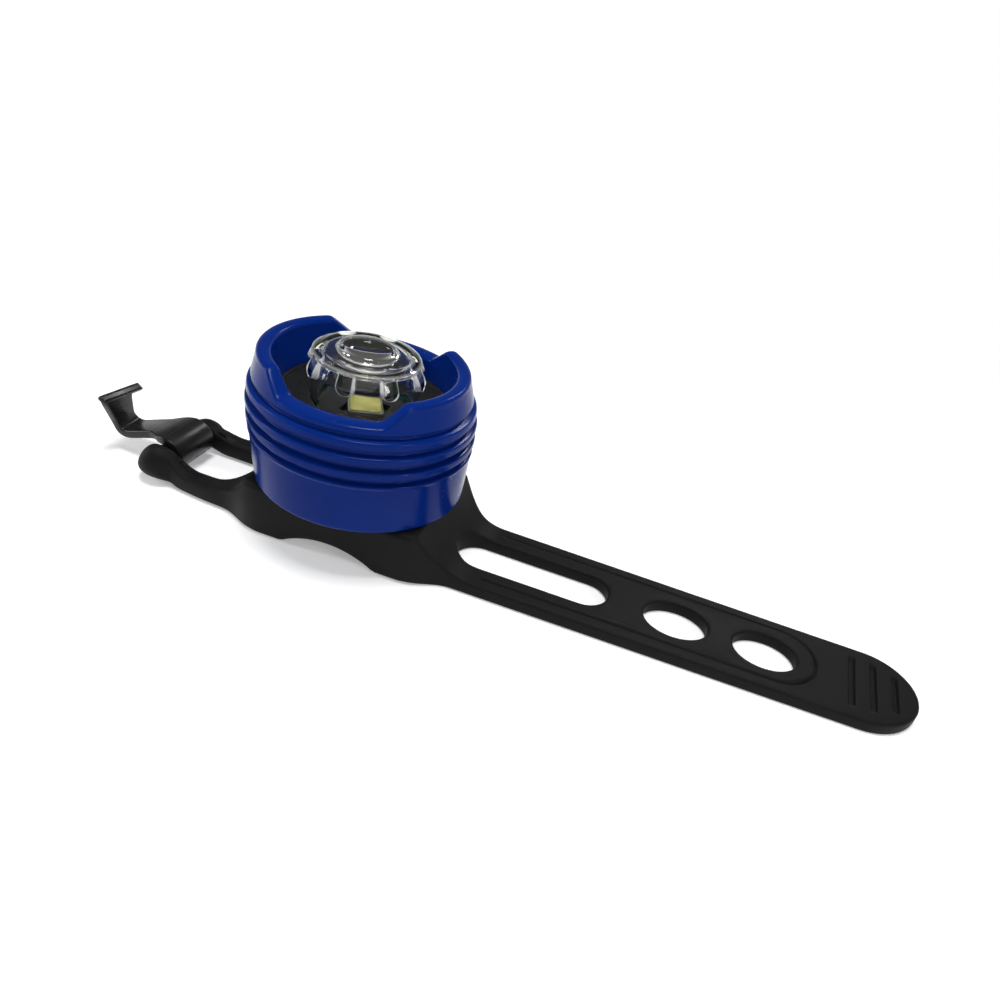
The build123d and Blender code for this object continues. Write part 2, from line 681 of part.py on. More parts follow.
def make_lens():
    """Clear lens cap with teeth hanging from its edge down the wall, each with a round lower end."""
    body = lens_section()
    root_r = LENS_R - TOOTH_ROOT
    face_r = LENS_R + CAP_PROUD
    round_r = TOOTH_W / 2
    low_z = CAP_Z0 - TOOTH_DROP + round_r
    tooth = strip(root_r, face_r, round_r, low_z, CAP_Z0 + BITE)
    tooth += Pos((root_r + face_r) / 2, 0, low_z) * Rot(0, 90, 0) * Cylinder(round_r, face_r - root_r)
    for index in range(TEETH):
        body += Rot(0, 0, TOOTH_TURN + index * 360 / TEETH) * tooth
    return body


def make_board():
    """Round circuit board with two screw holes."""
    body = disc(BOARD_R, BOARD_Z, BOARD_TOP)
    for angle in SCREW_ANGLES:
        body -= Rot(0, 0, angle) * disc(SCREW_R + SCREW_FIT, BOARD_Z - CUT, BOARD_TOP + CUT, SCREW_AT_R)
    return body


def make_screws():
    """Two screws that hold the board up to the ledge."""
    screws = []
    for angle in SCREW_ANGLES:
        one = disc(SCREW_R, BOARD_Z - BITE, BOARD_Z + SCREW_LEN, SCREW_AT_R)
        one += disc(SCREW_HEAD_R, BOARD_Z - SCREW_HEAD_H, BOARD_Z, SCREW_AT_R)
        screws.append(Rot(0, 0, angle) * one)
    return Compound(children=screws)


def make_led_body():
    """Square base of the light source."""
    half = LED_W / 2
    return strip(-half, half, half, BOARD_TOP, BOARD_TOP + LED_H)


def make_phosphor():
    """Round yellow face of the light source."""
    return disc(PHOSPHOR_R, BOARD_TOP + LED_H, BOARD_TOP + LED_H + PHOSPHOR_H)


def make_mask():
    """Black cover over the board inside the lens, with a square window for the light source."""
    top = BOARD_TOP + MASK_H
    window = LED_W / 2 + MASK_WINDOW_GAP
    body = disc(MASK_R, top - MASK_T, top) + ring(MASK_R, MASK_R - MASK_WALL, BOARD_TOP, top)
    return body - strip(-window, window, window, BOARD_TOP - CUT, top + CUT)


def make_switch():
    """Low push switch under the lens flange."""
    half_l = SWITCH_L / 2
    body = strip(SWITCH_X - half_l, SWITCH_X + half_l, SWITCH_W / 2, BOARD_TOP, BOARD_TOP + SWITCH_H)
    return body - disc(PLUNGER_R + SEAT, BOARD_TOP + SWITCH_FLOOR, BOARD_TOP + SWITCH_H + CUT, SWITCH_X)


def make_plunger():
    """Plunger of the switch, pressed by the lens flange."""
    low = BOARD_TOP + SWITCH_FLOOR + TRAVEL + SEAT
    return disc(PLUNGER_R, low, LENS_Z0 - LEAF_GAP, SWITCH_X)


def chip(x, y, length, width, height):
    """Flat component under the board."""
    return block(x - length / 2, x + length / 2, y - width / 2, y + width / 2, BOARD_Z - height, BOARD_Z)


def make_resistors():
    """Chip resistors in a row under the board."""
    pieces = []
    for index in range(RESISTORS):
        y = RESISTOR_Y + index * RESISTOR_PITCH
        pieces.append(chip(RESISTOR_X, y, RESISTOR_L, RESISTOR_W, RESISTOR_H))
    return Compound(children=pieces)


def make_centre_leaf():
    """Sprung contact under the board that touches the upper cell."""
    low = CELL_TOP + LEAF_GAP
    bend_x = CENTRE_LEAF_X - SHEET
    body = strip(CENTRE_LEAF_X - LEAF_FOOT, CENTRE_LEAF_X, LEAF_HALF_W, BOARD_Z - SHEET, BOARD_Z)
    body += strip(bend_x, CENTRE_LEAF_X, LEAF_HALF_W, low, BOARD_Z)
    return body + strip(bend_x, bend_x + LEAF_REACH, LEAF_HALF_W, low, low + SHEET)


def make_outer_leaf():
    """Sprung contact under the board that touches the strip beside the cells."""
    low = CRADLE_TOP + LEAF_GAP
    out_x = CELL_R - OUTER_LEAF_INSET
    body = strip(out_x - OUTER_LEAF_FOOT, out_x, LEAF_HALF_W, BOARD_Z - SHEET, BOARD_Z)
    body += strip(out_x - SHEET, out_x, LEAF_HALF_W, low, BOARD_Z)
    return body + strip(out_x - SHEET, STRIP_X + SHEET + BITE, LEAF_HALF_W, low, low + SHEET)


strap = save("strap", make_strap())
hook = save("hook", make_hook())
base_plug = save("base_plug", make_base())
lower_contact = save("lower_contact", make_lower_contact())
cell_cradle = save("cell_cradle", make_cradle())
cell_lower = save("cell_lower", make_cell(0))
cell_upper = save("cell_upper", make_cell(1))
seal_ring = save("seal_ring", make_seal_ring())
housing = save("housing", make_housing())
lens_gasket = save("lens_gasket", make_gasket())
lens = save("lens", make_lens())
circuit_board = save("circuit_board", make_board())
board_screws = save("board_screws", make_screws())
board_mask = save("board_mask", make_mask())
led_body = save("led_body", make_led_body())
led_phosphor = save("led_phosphor", make_phosphor())
switch_body = save("switch_body", make_switch())
switch_plunger = save("switch_plunger", make_plunger())
driver_chip = save("driver_chip", chip(CHIP_X, CHIP_Y, CHIP_L, CHIP_W, CHIP_H))
resistors = save("resistors", make_resistors())
centre_leaf = save("centre_leaf", make_centre_leaf())
outer_leaf = save("outer_leaf", make_outer_leaf())
print("tip", TIP_X, "pin", PIN_X, PIN_Z, "base", BASE_Z, "cell top", CELL_TOP, "board", BOARD_Z)
print("lens", LENS_Z0, CAP_Z1, "gasket", round(GASKET_TOP, 3), "rim", round(RIM_TOP_Z, 3), "lift", LIFT)
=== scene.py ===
"""A small bicycle headlight on its rubber strap, dressed for a studio photograph."""
import bpy
import math
import numpy as np
from mathutils import Matrix, Vector


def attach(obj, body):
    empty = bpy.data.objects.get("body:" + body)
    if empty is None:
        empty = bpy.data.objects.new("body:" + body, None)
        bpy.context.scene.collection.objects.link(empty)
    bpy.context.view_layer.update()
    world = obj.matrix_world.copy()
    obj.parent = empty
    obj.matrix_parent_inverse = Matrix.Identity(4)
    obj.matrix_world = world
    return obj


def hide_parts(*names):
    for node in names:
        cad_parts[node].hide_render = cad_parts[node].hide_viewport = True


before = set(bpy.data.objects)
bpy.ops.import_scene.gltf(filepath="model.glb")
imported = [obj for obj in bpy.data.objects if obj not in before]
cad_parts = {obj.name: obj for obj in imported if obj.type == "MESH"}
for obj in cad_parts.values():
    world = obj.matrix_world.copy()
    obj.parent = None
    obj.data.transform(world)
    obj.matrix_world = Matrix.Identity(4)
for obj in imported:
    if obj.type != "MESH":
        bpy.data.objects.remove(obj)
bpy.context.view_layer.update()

# The camera stands where the photographer stood: in front of the lamp and a little
# to its right, looking down on it. The picture is square, and the lens is shifted
# because the photograph was cut out of a wider one.
MM = 0.001
SENSOR_W, FOCAL_SHARE = 36.0, 0.8113
CAMERA_AT = (44.52, -96.48, 74.27)
CAMERA_SIDE, CAMERA_AHEAD = (0.9445, 0.2304, 0.2341), (-0.0302, 0.7706, -0.6366)
camera_data = bpy.data.cameras.new("camera")
camera_data.sensor_fit = "HORIZONTAL"
camera_data.sensor_width = SENSOR_W
camera_data.lens = SENSOR_W * FOCAL_SHARE
camera_data.shift_x = -0.1051
camera_data.shift_y = 0.13666
camera_data.clip_start = 0.01
camera_data.clip_end = 10.0
camera = bpy.data.objects.new("camera", camera_data)
bpy.context.scene.collection.objects.link(camera)
side_way = Vector(CAMERA_SIDE).normalized()
ahead = Vector(CAMERA_AHEAD).normalized()
up_way = side_way.cross(ahead).normalized()
side_way = ahead.cross(up_way).normalized()
camera.matrix_world = Matrix.Translation(Vector(CAMERA_AT) * MM) @ Matrix((
    (side_way.x, up_way.x, -ahead.x, 0.0),
    (side_way.y, up_way.y, -ahead.y, 0.0),
    (side_way.z, up_way.z, -ahead.z, 0.0),
    (0.0, 0.0, 0.0, 1.0)))
bpy.context.scene.camera = camera
bpy.context.scene.view_settings.view_transform = "Standard"


# The studio is a white room: a pale floor that keeps a faint shadow, white paper all
# round for whatever looks at it directly or in a reflection, and four soft lamps.
FLOOR_HALF, FLOOR_GLOW = 1.2, 0.3
WHITE_FROM, WHITE_TO = 0.12, 0.24


def new_material(name):
    """A material with an empty node tree, that tree, and its output."""
    material = bpy.data.materials.new(name)
    material.use_nodes = True
    tree = material.node_tree
    tree.nodes.clear()
    out = tree.nodes.new("ShaderNodeOutputMaterial")
    return material, tree, out


def node(tree, kind, values=None, **settings):
    """Adds a node, sets its properties, and gives each input that is named a value or a
    link from the output of another node."""
    made = tree.nodes.new(kind)
    for key, value in settings.items():
        setattr(made, key, value)
    for key, value in (values or {}).items():
        if isinstance(value, bpy.types.NodeSocket):
            tree.links.new(value, made.inputs[key])
        else:
            made.inputs[key].default_value = value
    return made


def maths(tree, operation, first, second):
    """The result of one operation on two numbers."""
    return node(tree, "ShaderNodeMath", {0: first, 1: second}, operation=operation).outputs[0]


def remap(tree, value, source, target, **settings):
    """Maps the source range of a value onto the target range, and keeps it within that."""
    made = node(tree, "ShaderNodeMapRange", {"Value": value, "From Min": source[0], "From Max": source[1],
                                             "To Min": target[0], "To Max": target[1]}, **settings)
    return made.outputs["Result"]


def seen_rays(tree):
    """1 for camera, glossy and transmission rays, and 0 for light that only spreads."""
    path = node(tree, "ShaderNodeLightPath")
    shown = maths(tree, "MAXIMUM", path.outputs["Is Camera Ray"], path.outputs["Is Glossy Ray"])
    return maths(tree, "MAXIMUM", shown, path.outputs["Is Transmission Ray"])


world = bpy.data.worlds.new("studio")
bpy.context.scene.world = world
world.use_nodes = True
tree = world.node_tree
tree.nodes.clear()
world_out = node(tree, "ShaderNodeOutputWorld")
room_light = node(tree, "ShaderNodeBackground", {"Color": (0.95, 0.97, 1.0, 1.0), "Strength": 0.22})
way = node(tree, "ShaderNodeTexCoord")
way_parts = node(tree, "ShaderNodeSeparateXYZ", {0: way.outputs["Generated"]})
ceiling = remap(tree, way_parts.outputs["Z"], (0.0, 0.33), (0.75, 0.1), interpolation_type="SMOOTHSTEP")
camera_only = node(tree, "ShaderNodeLightPath")
paper_white = maths(tree, "MAXIMUM", ceiling, camera_only.outputs["Is Camera Ray"])
room_paper = node(tree, "ShaderNodeBackground", {"Color": paper_white, "Strength": 1.0})
room = node(tree, "ShaderNodeMixShader", {0: seen_rays(tree), 1: room_light.outputs[0],
                                          2: room_paper.outputs[0]})
tree.links.new(room.outputs[0], world_out.inputs["Surface"])

floor_material, tree, out = new_material("floor_paper")
paper = node(tree, "ShaderNodeBsdfDiffuse", {"Color": (0.9, 0.9, 0.9, 1.0)})
glow = maths(tree, "MULTIPLY", seen_rays(tree), FLOOR_GLOW)
paper_glow = node(tree, "ShaderNodeEmission", {"Strength": glow})
lit_paper = node(tree, "ShaderNodeAddShader", {0: paper.outputs[0], 1: paper_glow.outputs[0]})
far_glow = node(tree, "ShaderNodeEmission", {"Strength": 1.0})
place = node(tree, "ShaderNodeTexCoord")
from_part = node(tree, "ShaderNodeVectorMath", {0: place.outputs["Object"]}, operation="LENGTH")
far_away = remap(tree, from_part.outputs["Value"], (WHITE_FROM, WHITE_TO), (0.0, 1.0),
                 interpolation_type="SMOOTHSTEP")
far_seen = maths(tree, "MULTIPLY", far_away, seen_rays(tree))
floor_paper = node(tree, "ShaderNodeMixShader", {0: far_seen, 1: lit_paper.outputs[0],
                                                 2: far_glow.outputs[0]})
tree.links.new(floor_paper.outputs[0], out.inputs["Surface"])
floor_mesh = bpy.data.meshes.new("floor")
floor_corners = [(x * FLOOR_HALF, y * FLOOR_HALF, 0.0) for x, y in ((-1, -1), (1, -1), (1, 1), (-1, 1))]
floor_mesh.from_pydata(floor_corners, [], [(0, 1, 2, 3)])
floor_mesh.materials.append(floor_material)
floor = bpy.data.objects.new("floor", floor_mesh)
bpy.context.scene.collection.objects.link(floor)


def soft_lamp(name, place, aim, size, power):
    """A square area lamp at place, in metres, turned to look at aim."""
    data = bpy.data.lights.new(name, "AREA")
    data.shape = "RECTANGLE"
    data.size, data.size_y = size
    data.energy = power
    lamp = bpy.data.objects.new(name, data)
    lamp.location = place
    lamp.rotation_euler = (Vector(aim) - Vector(place)).to_track_quat("-Z", "Y").to_euler()
    bpy.context.scene.collection.objects.link(lamp)
    return lamp


soft_lamp("lamp_over", (0.03, -0.02, 0.5), (0.02, 0.0, 0.0), (0.14, 0.14), 1.5)
soft_lamp("lamp_left", (-0.42, -0.1, 0.2), (0.0, 0.0, 0.01), (0.07, 0.22), 0.75)
soft_lamp("lamp_right", (0.36, -0.16, 0.16), (0.0, 0.0, 0.01), (0.04, 0.2), 0.35)
soft_lamp("lamp_back", (0.1, 0.4, 0.32), (-0.02, 0.0, 0.01), (0.05, 0.1), 0.4)


# The housing is moulded in one piece of glossy blue plastic. It screws onto the base,
# carries four grip grooves, and its rim has a notch in front and behind for the
# fingertip that presses the lens.
HOUSING_COLUMNS = 390
HOUSING_LOW, SEAT_R, BAND_TOP = 8.25, 12.75, 15.3
RIB_R, GROOVE_R, GROOVE_HALF, GROOVE_FLOOR_HALF = 15.14, 14.3, 0.55, 0.25
GROOVE_FROM, GROOVE_PITCH, EVEN_GROOVES = 16.35, 2.03, 3
SHOULDER_R, SHOULDER_Z = 14.28, 22.95
RIM_TOP, RIM_R, RIM_ROUND, RIM_ROUND_UP, RIM_WIDER = 26.2, 13.6, 0.95, 0.64, 0.4
NOTCH_FLOOR, NOTCH_HALF, NOTCH_TURN, NOTCH_SOFT, NOTCH_AT_R = 23.7, 6.2, math.radians(6.0), 0.13, 13.0
WALL_FOOT_R, WALL_FOOT_Z = 11.55, 22.9


def object_from_grid(name, points, faces):
    """A smooth mesh object from an array of points in millimetres and an array of faces."""
    mesh = bpy.data.meshes.new(name)
    mesh.from_pydata((points * MM).tolist(), [], faces.tolist())
    mesh.validate()
    mesh.polygons.foreach_set("use_smooth", np.full(len(mesh.polygons), True))
    made = bpy.data.objects.new(name, mesh)
    bpy.context.scene.collection.objects.link(made)
    return made


def grid_faces(rows, columns, close_rows=False, close_columns=False, start=0):
    """Four-sided faces over a grid of points numbered row by row. A closed side joins
    its last line to its first."""
    row = np.arange(rows if close_rows else rows - 1)
    column = np.arange(columns if close_columns else columns - 1)
    r, c = np.meshgrid(row, column, indexing="ij")
    r2, c2 = (r + 1) % rows, (c + 1) % columns
    quads = np.stack([r * columns + c, r * columns + c2, r2 * columns + c2, r2 * columns + c], axis=-1)
    return quads.reshape(-1, 4) + start


def turned(radius, height, turn):
    """Points round the Z axis, row by row: radius times the cosine of the turn, radius
    times its sine, and height."""
    radius, height, turn = np.broadcast_arrays(radius, height, turn)
    return np.stack([radius * np.cos(turn), radius * np.sin(turn), height], axis=-1).reshape(-1, 3)


def rounded(corners, step=0.4, per_radian=5.0):
    """Points along an open line of (r, z) corners, each with its own radius: every corner
    becomes an arc that touches both of its runs, and runs are divided evenly."""
    line = []
    count = len(corners)
    for index, (r, z, radius) in enumerate(corners):
        here = np.array((r, z))
        if radius <= 0.0 or index in (0, count - 1):
            line.append(here[None])
            continue
        back = np.array(corners[index - 1][:2]) - here
        on = np.array(corners[index + 1][:2]) - here
        back /= np.linalg.norm(back)
        on /= np.linalg.norm(on)
        half = 0.5 * math.acos(float(np.clip(back @ on, -1.0, 1.0)))
        reach = radius / math.tan(half)
        middle = here + (back + on) / np.linalg.norm(back + on) * radius / math.sin(half)
        start, end = here + back * reach - middle, here + on * reach - middle
        sweep = math.pi - 2.0 * half
        turns = np.linspace(0.0, 1.0, max(4, int(math.ceil(sweep * per_radian))))[:, None]
        arc = (np.sin((1.0 - turns) * sweep) * start + np.sin(turns * sweep) * end) / math.sin(sweep)
        line.append(middle + arc)
    bent = np.concatenate(line)
    dense = [bent[:1]]
    for a, b in zip(bent[:-1], bent[1:]):
        parts = max(1, int(math.ceil(np.linalg.norm(b - a) / step)))
        dense.append(a + (b - a) * np.linspace(0.0, 1.0, parts + 1)[1:, None])
    return np.concatenate(dense)


def rim_height(turn):
    """Height of the rim at each angle: its full height at the two ears, and down 45 degree
    ramps into the notch that crosses the lamp from front to back. Both ends of a ramp are
    rounded, as the softplus of the plain ramp."""
    across = np.abs(NOTCH_AT_R * np.cos(turn - NOTCH_TURN)) - NOTCH_HALF
    rise = NOTCH_SOFT * np.logaddexp(0.0, across / NOTCH_SOFT)
    depth = RIM_TOP - NOTCH_FLOOR
    return RIM_TOP - NOTCH_SOFT * np.logaddexp(0.0, (depth - rise) / NOTCH_SOFT)


def rim_section(height):
    """The rim from the shoulder over the top and down to the disc, for each height: a wall
    that leans inwards as a straight line, and on top of it a flattened half circle, which
    is wider the deeper the notch is there."""
    down = np.clip((RIM_TOP - height) / (RIM_TOP - NOTCH_FLOOR), 0.0, 1.0)
    round_r = RIM_ROUND + RIM_WIDER * down * down
    lean = np.linspace(0.0, 1.0, 8)
    over = np.linspace(0.0, math.pi, 21)[1:-1]
    flat = 2.0 / 2.7
    top = height - RIM_ROUND_UP
    share = (top - SHOULDER_Z) / (RIM_TOP - RIM_ROUND_UP - SHOULDER_Z)
    outer_r = SHOULDER_R - (SHOULDER_R - RIM_R) * share
    rows_r = [SHOULDER_R + (outer_r - SHOULDER_R) * t for t in lean]
    rows_z = [SHOULDER_Z + (top - SHOULDER_Z) * t for t in lean]
    middle_r = outer_r - round_r
    rows_r += [middle_r + round_r * math.copysign(abs(math.cos(t)) ** flat, math.cos(t)) for t in over]
    rows_z += [top + RIM_ROUND_UP * math.sin(t) ** flat for t in over]
    inner_r = outer_r - 2.0 * round_r
    rows_r += [inner_r + (WALL_FOOT_R - inner_r) * t for t in lean]
    rows_z += [top + (WALL_FOOT_Z - top) * t for t in lean]
    return np.array(rows_r), np.array(rows_z)


groove_line = []
for groove in range(EVEN_GROOVES):
    middle_z = GROOVE_FROM + GROOVE_PITCH * groove
    groove_line += [(RIB_R, middle_z - GROOVE_HALF, 0.28), (GROOVE_R, middle_z - GROOVE_FLOOR_HALF, 0.18),
                    (GROOVE_R, middle_z + GROOVE_FLOOR_HALF, 0.18), (RIB_R, middle_z + GROOVE_HALF, 0.28)]
# The rib above the third groove is narrower, and the fourth groove cuts in below the rim.
groove_line[-1:] = [(14.95, 20.96, 0.28), (14.8, 21.9, 0.28), (13.95, 22.2, 0.15), (13.95, 22.55, 0.15),
                    (14.3, 22.8, 0.12)]
outside = rounded([(SEAT_R, HOUSING_LOW, 0.0), (14.4, HOUSING_LOW, 0.55), (14.85, BAND_TOP, 0.15)]
                  + groove_line + [(SHOULDER_R, SHOULDER_Z, 0.0)])
inside = rounded([(WALL_FOOT_R, WALL_FOOT_Z, 0.0), (11.4, 20.7, 0.2), (11.4, 19.0, 0.1), (9.5, 19.0, 0.1),
                  (9.5, 18.1, 0.0), (12.0, 18.1, 0.05), (12.0, 13.0, 0.0), (12.55, 12.6, 0.0),
                  (12.55, 10.0, 0.0), (12.55, 8.6, 0.0), (SEAT_R, HOUSING_LOW, 0.0)], 0.5)
turn = np.linspace(0.0, 2.0 * math.pi, HOUSING_COLUMNS, endpoint=False)
rim_r, rim_z = rim_section(rim_height(turn))
outside_r, outside_z = (np.repeat(outside[:-1, k:k + 1], HOUSING_COLUMNS, axis=1) for k in (0, 1))
inside_r, inside_z = (np.repeat(inside[1:-1, k:k + 1], HOUSING_COLUMNS, axis=1) for k in (0, 1))
shell_r = np.concatenate([outside_r, rim_r, inside_r])
shell_z = np.concatenate([outside_z, rim_z, inside_z])
housing = object_from_grid("lamp_housing", turned(shell_r, shell_z, turn),
                           grid_faces(len(shell_r), HOUSING_COLUMNS, True, True))


def noise(tree, scale, detail, roughness=0.5):
    """Noise over the piece's own coordinates, with scale waves to the metre."""
    coords = node(tree, "ShaderNodeTexCoord")
    made = node(tree, "ShaderNodeTexNoise", {"Vector": coords.outputs["Object"], "Scale": scale,
                                             "Detail": detail, "Roughness": roughness})
    return made.outputs["Fac"]


def two_shades(tree, factor, stops, dark, light):
    """The dark colour up to the first stop of the factor, the light one from the second
    on, and an even blend between them."""
    ramp = node(tree, "ShaderNodeValToRGB", {"Fac": factor})
    for element, stop, colour in zip(ramp.color_ramp.elements, stops, (dark, light)):
        element.position = stop
        element.color = (*colour, 1.0)
    return ramp.outputs["Color"]


def relief(tree, height, strength, depth=0.0001):
    """The normal of a surface that rises and falls with the height, depth metres deep."""
    made = node(tree, "ShaderNodeBump", {"Height": height, "Strength": strength, "Distance": depth})
    return made.outputs["Normal"]


housing_material, tree, out = new_material("blue_plastic")
cloud = noise(tree, 90.0, 3.0)
tint = two_shades(tree, cloud, (0.3, 0.7), (0.001, 0.0175, 0.17), (0.0015, 0.0225, 0.2))
dust = two_shades(tree, noise(tree, 1900.0, 1.0), (0.785, 0.84), (0.0, 0.0, 0.0), (0.5, 0.5, 0.5))
dusted = node(tree, "ShaderNodeMix", {0: dust, 6: tint, 7: (0.35, 0.42, 0.62, 1.0)}, data_type="RGBA")
blue = node(tree, "ShaderNodeBsdfPrincipled", {
    "Base Color": dusted.outputs[2], "Roughness": remap(tree, cloud, (0.35, 0.75), (0.17, 0.26)),
    "Normal": relief(tree, noise(tree, 420.0, 2.0), 0.05, 0.0002), "Specular IOR Level": 0.08})
tree.links.new(blue.outputs[0], out.inputs["Surface"])
housing.data.materials.append(housing_material)
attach(housing, "lamp_head")
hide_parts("housing")


# The strap is one moulding of matte black silicone rubber: a thick saddle that grips the
# base plug, a long tail with a slot and two oval holes, and at the other end two arms with
# a pin across them that carries the hook. X runs along it, Y across it and Z up.
SADDLE_FLAT, SADDLE_H, SADDLE_HALF = 12.5, 8.2, 10.5
TAIL_T, TAIL_HALF, TIP_X, TIP_LEN = 2.1, 7.95, 87.8, 8.8
LOOP_T, LOOP_LIFT, LOOP_HALF, LOOP_END_HALF = 2.7, 0.3, 7.9, 6.3
SLOPE_X, FLARE_FROM, FLARE_X = 20.5, 10.0, 18.0
PIN_X, PIN_Z, PIN_R, KNOB_R, KNOB_Y = -28.6, 3.1, 1.4, 2.8, 5.3
FAR_TOP, ARM_FROM, KNOB_ROUND_FROM = 4.5, -22.4, -24.2
NOSE_X, NEAR_NOSE, FAR_NOSE = -28.3, 0.26, 0.12
GAP_X, GAP_HALF, GAP_END_R = -16.5, 4.4, 3.9
SLOT_FROM, SLOT_TO, SLOT_HALF = 15.5, 39.3, 3.6
HOLES_AT, HOLE_RX, HOLE_RY = (50.0, 63.9), 5.0, 3.9
LINE_R, LINE_W, LINE_DEPTH, LINE_FROM, LINE_BEND = 6.2, 0.45, 0.45, 21.0, 65.8
LINE_SLOPE, TAIL_LINE_FADE, ARM_LINE_FROM, ARM_LINE_TO, ARM_LINE_FADE = 0.05, 0.4, -26.4, -18.6, 0.8
GRIPS_AT, GRIP_HALF, GRIP_DEPTH, GRIP_INSET, GRIP_SLOPE = (77.3, 80.65, 84.0), 0.56, 0.5, 2.6, 0.2
BAR_R, BAR_BELOW = 12.7, 10.6
EDGE_R, SADDLE_EDGE_R, INNER_KNOB_R, KNOB_BLEND = 0.45, 0.5, 1.5, 0.25
SADDLE_EDGE_TO, SADDLE_EDGE_FADE, FULL_ROOM = 15.0, 3.0, 3.4
LINE_REACH, FAR_OFF = 3.2, 9.0


def eased(share):
    """A share from 0 to 1, eased at both ends: three times its square less twice its cube."""
    return share * share * (3.0 - 2.0 * share)


def bezier_line(points, count):
    """Points of a cubic Bezier curve in any number of dimensions."""
    t = np.linspace(0.0, 1.0, count)[:, None]
    a, b, c, d = (np.array(p, dtype=float) for p in points)
    return (1 - t) ** 3 * a + 3 * t * (1 - t) ** 2 * b + 3 * t ** 2 * (1 - t) * c + t ** 3 * d


def bezier_height(x, points):
    """Height over x of a Bezier curve whose x only rises, read off its dense points."""
    line = bezier_line(points, 200)
    return np.interp(x, line[:, 0], line[:, 1])


def half_width(x):
    """Outer edge of the strap over x: round knobs, arms, flared saddle, tail and oval tip."""
    share = np.clip((-FLARE_X - x) / (-FLARE_X - PIN_X), 0.0, 1.0)
    edge = LOOP_HALF - (LOOP_HALF - LOOP_END_HALF) * share ** 1.7
    flare = [(-FLARE_X, LOOP_HALF), (-14.4, LOOP_HALF), (-13.8, SADDLE_HALF), (-FLARE_FROM, SADDLE_HALF)]
    edge = np.where(x > -FLARE_X, bezier_height(x, flare), edge)
    flare = [(FLARE_FROM, SADDLE_HALF), (13.8, SADDLE_HALF), (14.4, TAIL_HALF), (FLARE_X, TAIL_HALF)]
    edge = np.where(x > FLARE_FROM, bezier_height(x, flare), edge)
    past = np.clip((x - TIP_X + TIP_LEN) / TIP_LEN, 0.0, 1.0)
    edge = np.where(x > TIP_X - TIP_LEN, TAIL_HALF * np.sqrt(1.0 - past ** 2), edge)
    knob = KNOB_Y + np.sqrt(np.clip(KNOB_R ** 2 - (x - PIN_X) ** 2, 0.0, None))
    blend = KNOB_BLEND * np.logaddexp(edge / KNOB_BLEND, knob / KNOB_BLEND)
    edge = np.where(x < PIN_X + KNOB_R, np.minimum(blend, KNOB_Y + KNOB_R), edge)
    return np.where(x < PIN_X, knob, edge)


def hole_half_width(x):
    """Half width of the opening at x: the gap between the arms, the slot and the two holes."""
    near_end = np.clip((x - (GAP_X - GAP_END_R)) / GAP_END_R, 0.0, 1.0)
    gap = np.where(x < GAP_X, GAP_HALF * np.sqrt(1.0 - near_end ** 2), 0.0)
    middle, reach = (SLOT_FROM + SLOT_TO) / 2, (SLOT_TO - SLOT_FROM) / 2
    into_end = np.clip(np.abs(x - middle) - reach + SLOT_HALF, 0.0, None)
    slot = np.sqrt(np.clip(SLOT_HALF ** 2 - into_end ** 2, 0.0, None))
    open_half = np.maximum(gap, slot)
    for at in HOLES_AT:
        oval = np.sqrt(np.clip(1.0 - ((x - at) / HOLE_RX) ** 2, 0.0, None))
        open_half = np.maximum(open_half, HOLE_RY * oval)
    return open_half


def both_ends(a, b, count):
    """Values from a to b, close together at both ends as the heights of a half circle are."""
    return (a + b) / 2 - (b - a) / 2 * np.cos(np.linspace(0.0, math.pi, count))


def one_end(tight, loose, count):
    """Values from tight to loose, close together at the tight end."""
    return tight + (loose - tight) * (1.0 - np.cos(np.linspace(0.0, math.pi / 2, count)))


# The mesh has columns across the strap. They stand close together where its outline, an
# opening, the inset line or a grip groove bends.
margin = np.array((0.03, 0.08, 0.15, 0.25, 0.36, 0.5))
beside_grip = np.array((0.18, 0.32, 0.42, 0.5, 0.58, 0.7))
slot_bends = (SLOT_FROM + SLOT_HALF, SLOT_TO - SLOT_HALF)
gap_bend, line_end = GAP_X - GAP_END_R, LINE_BEND + LINE_R
column_sets = [one_end(PIN_X - KNOB_R, PIN_X, 18), np.linspace(PIN_X, ARM_FROM, 26),
               np.linspace(ARM_FROM, gap_bend, 7), one_end(GAP_X, gap_bend, 18), GAP_X + margin,
               np.linspace(GAP_X + margin[-1], -SADDLE_FLAT, 14), np.linspace(-SADDLE_FLAT, SADDLE_FLAT, 44),
               np.linspace(SADDLE_FLAT, SLOT_FROM - 0.6, 12), SLOT_FROM - margin,
               one_end(SLOT_FROM, slot_bends[0], 16), np.linspace(*slot_bends, 44),
               one_end(SLOT_TO, slot_bends[1], 16), SLOT_TO + margin, np.linspace(39.9, 44.4, 9),
               np.linspace(55.6, 58.3, 5), one_end(line_end, line_end - 2.5, 16),
               line_end + np.array((-0.44, -0.4, 0.04)), np.linspace(72.2, 76.6, 9),
               np.linspace(84.6, 86.6, 5), one_end(TIP_X, 86.7, 16)]
for at in HOLES_AT:
    column_sets += [at - HOLE_RX - margin, both_ends(at - HOLE_RX, at + HOLE_RX, 34), at + HOLE_RX + margin]
for at in GRIPS_AT:
    column_sets += [at - beside_grip, [at], at + beside_grip, at + np.array((1.0, 1.4, 1.8, 2.2))]
strap_x = np.unique(np.round(np.concatenate(column_sets), 4))
outer, opening = half_width(strap_x), hole_half_width(strap_x)
room = np.clip((outer - opening) / FULL_ROOM, 0.0, 1.0)

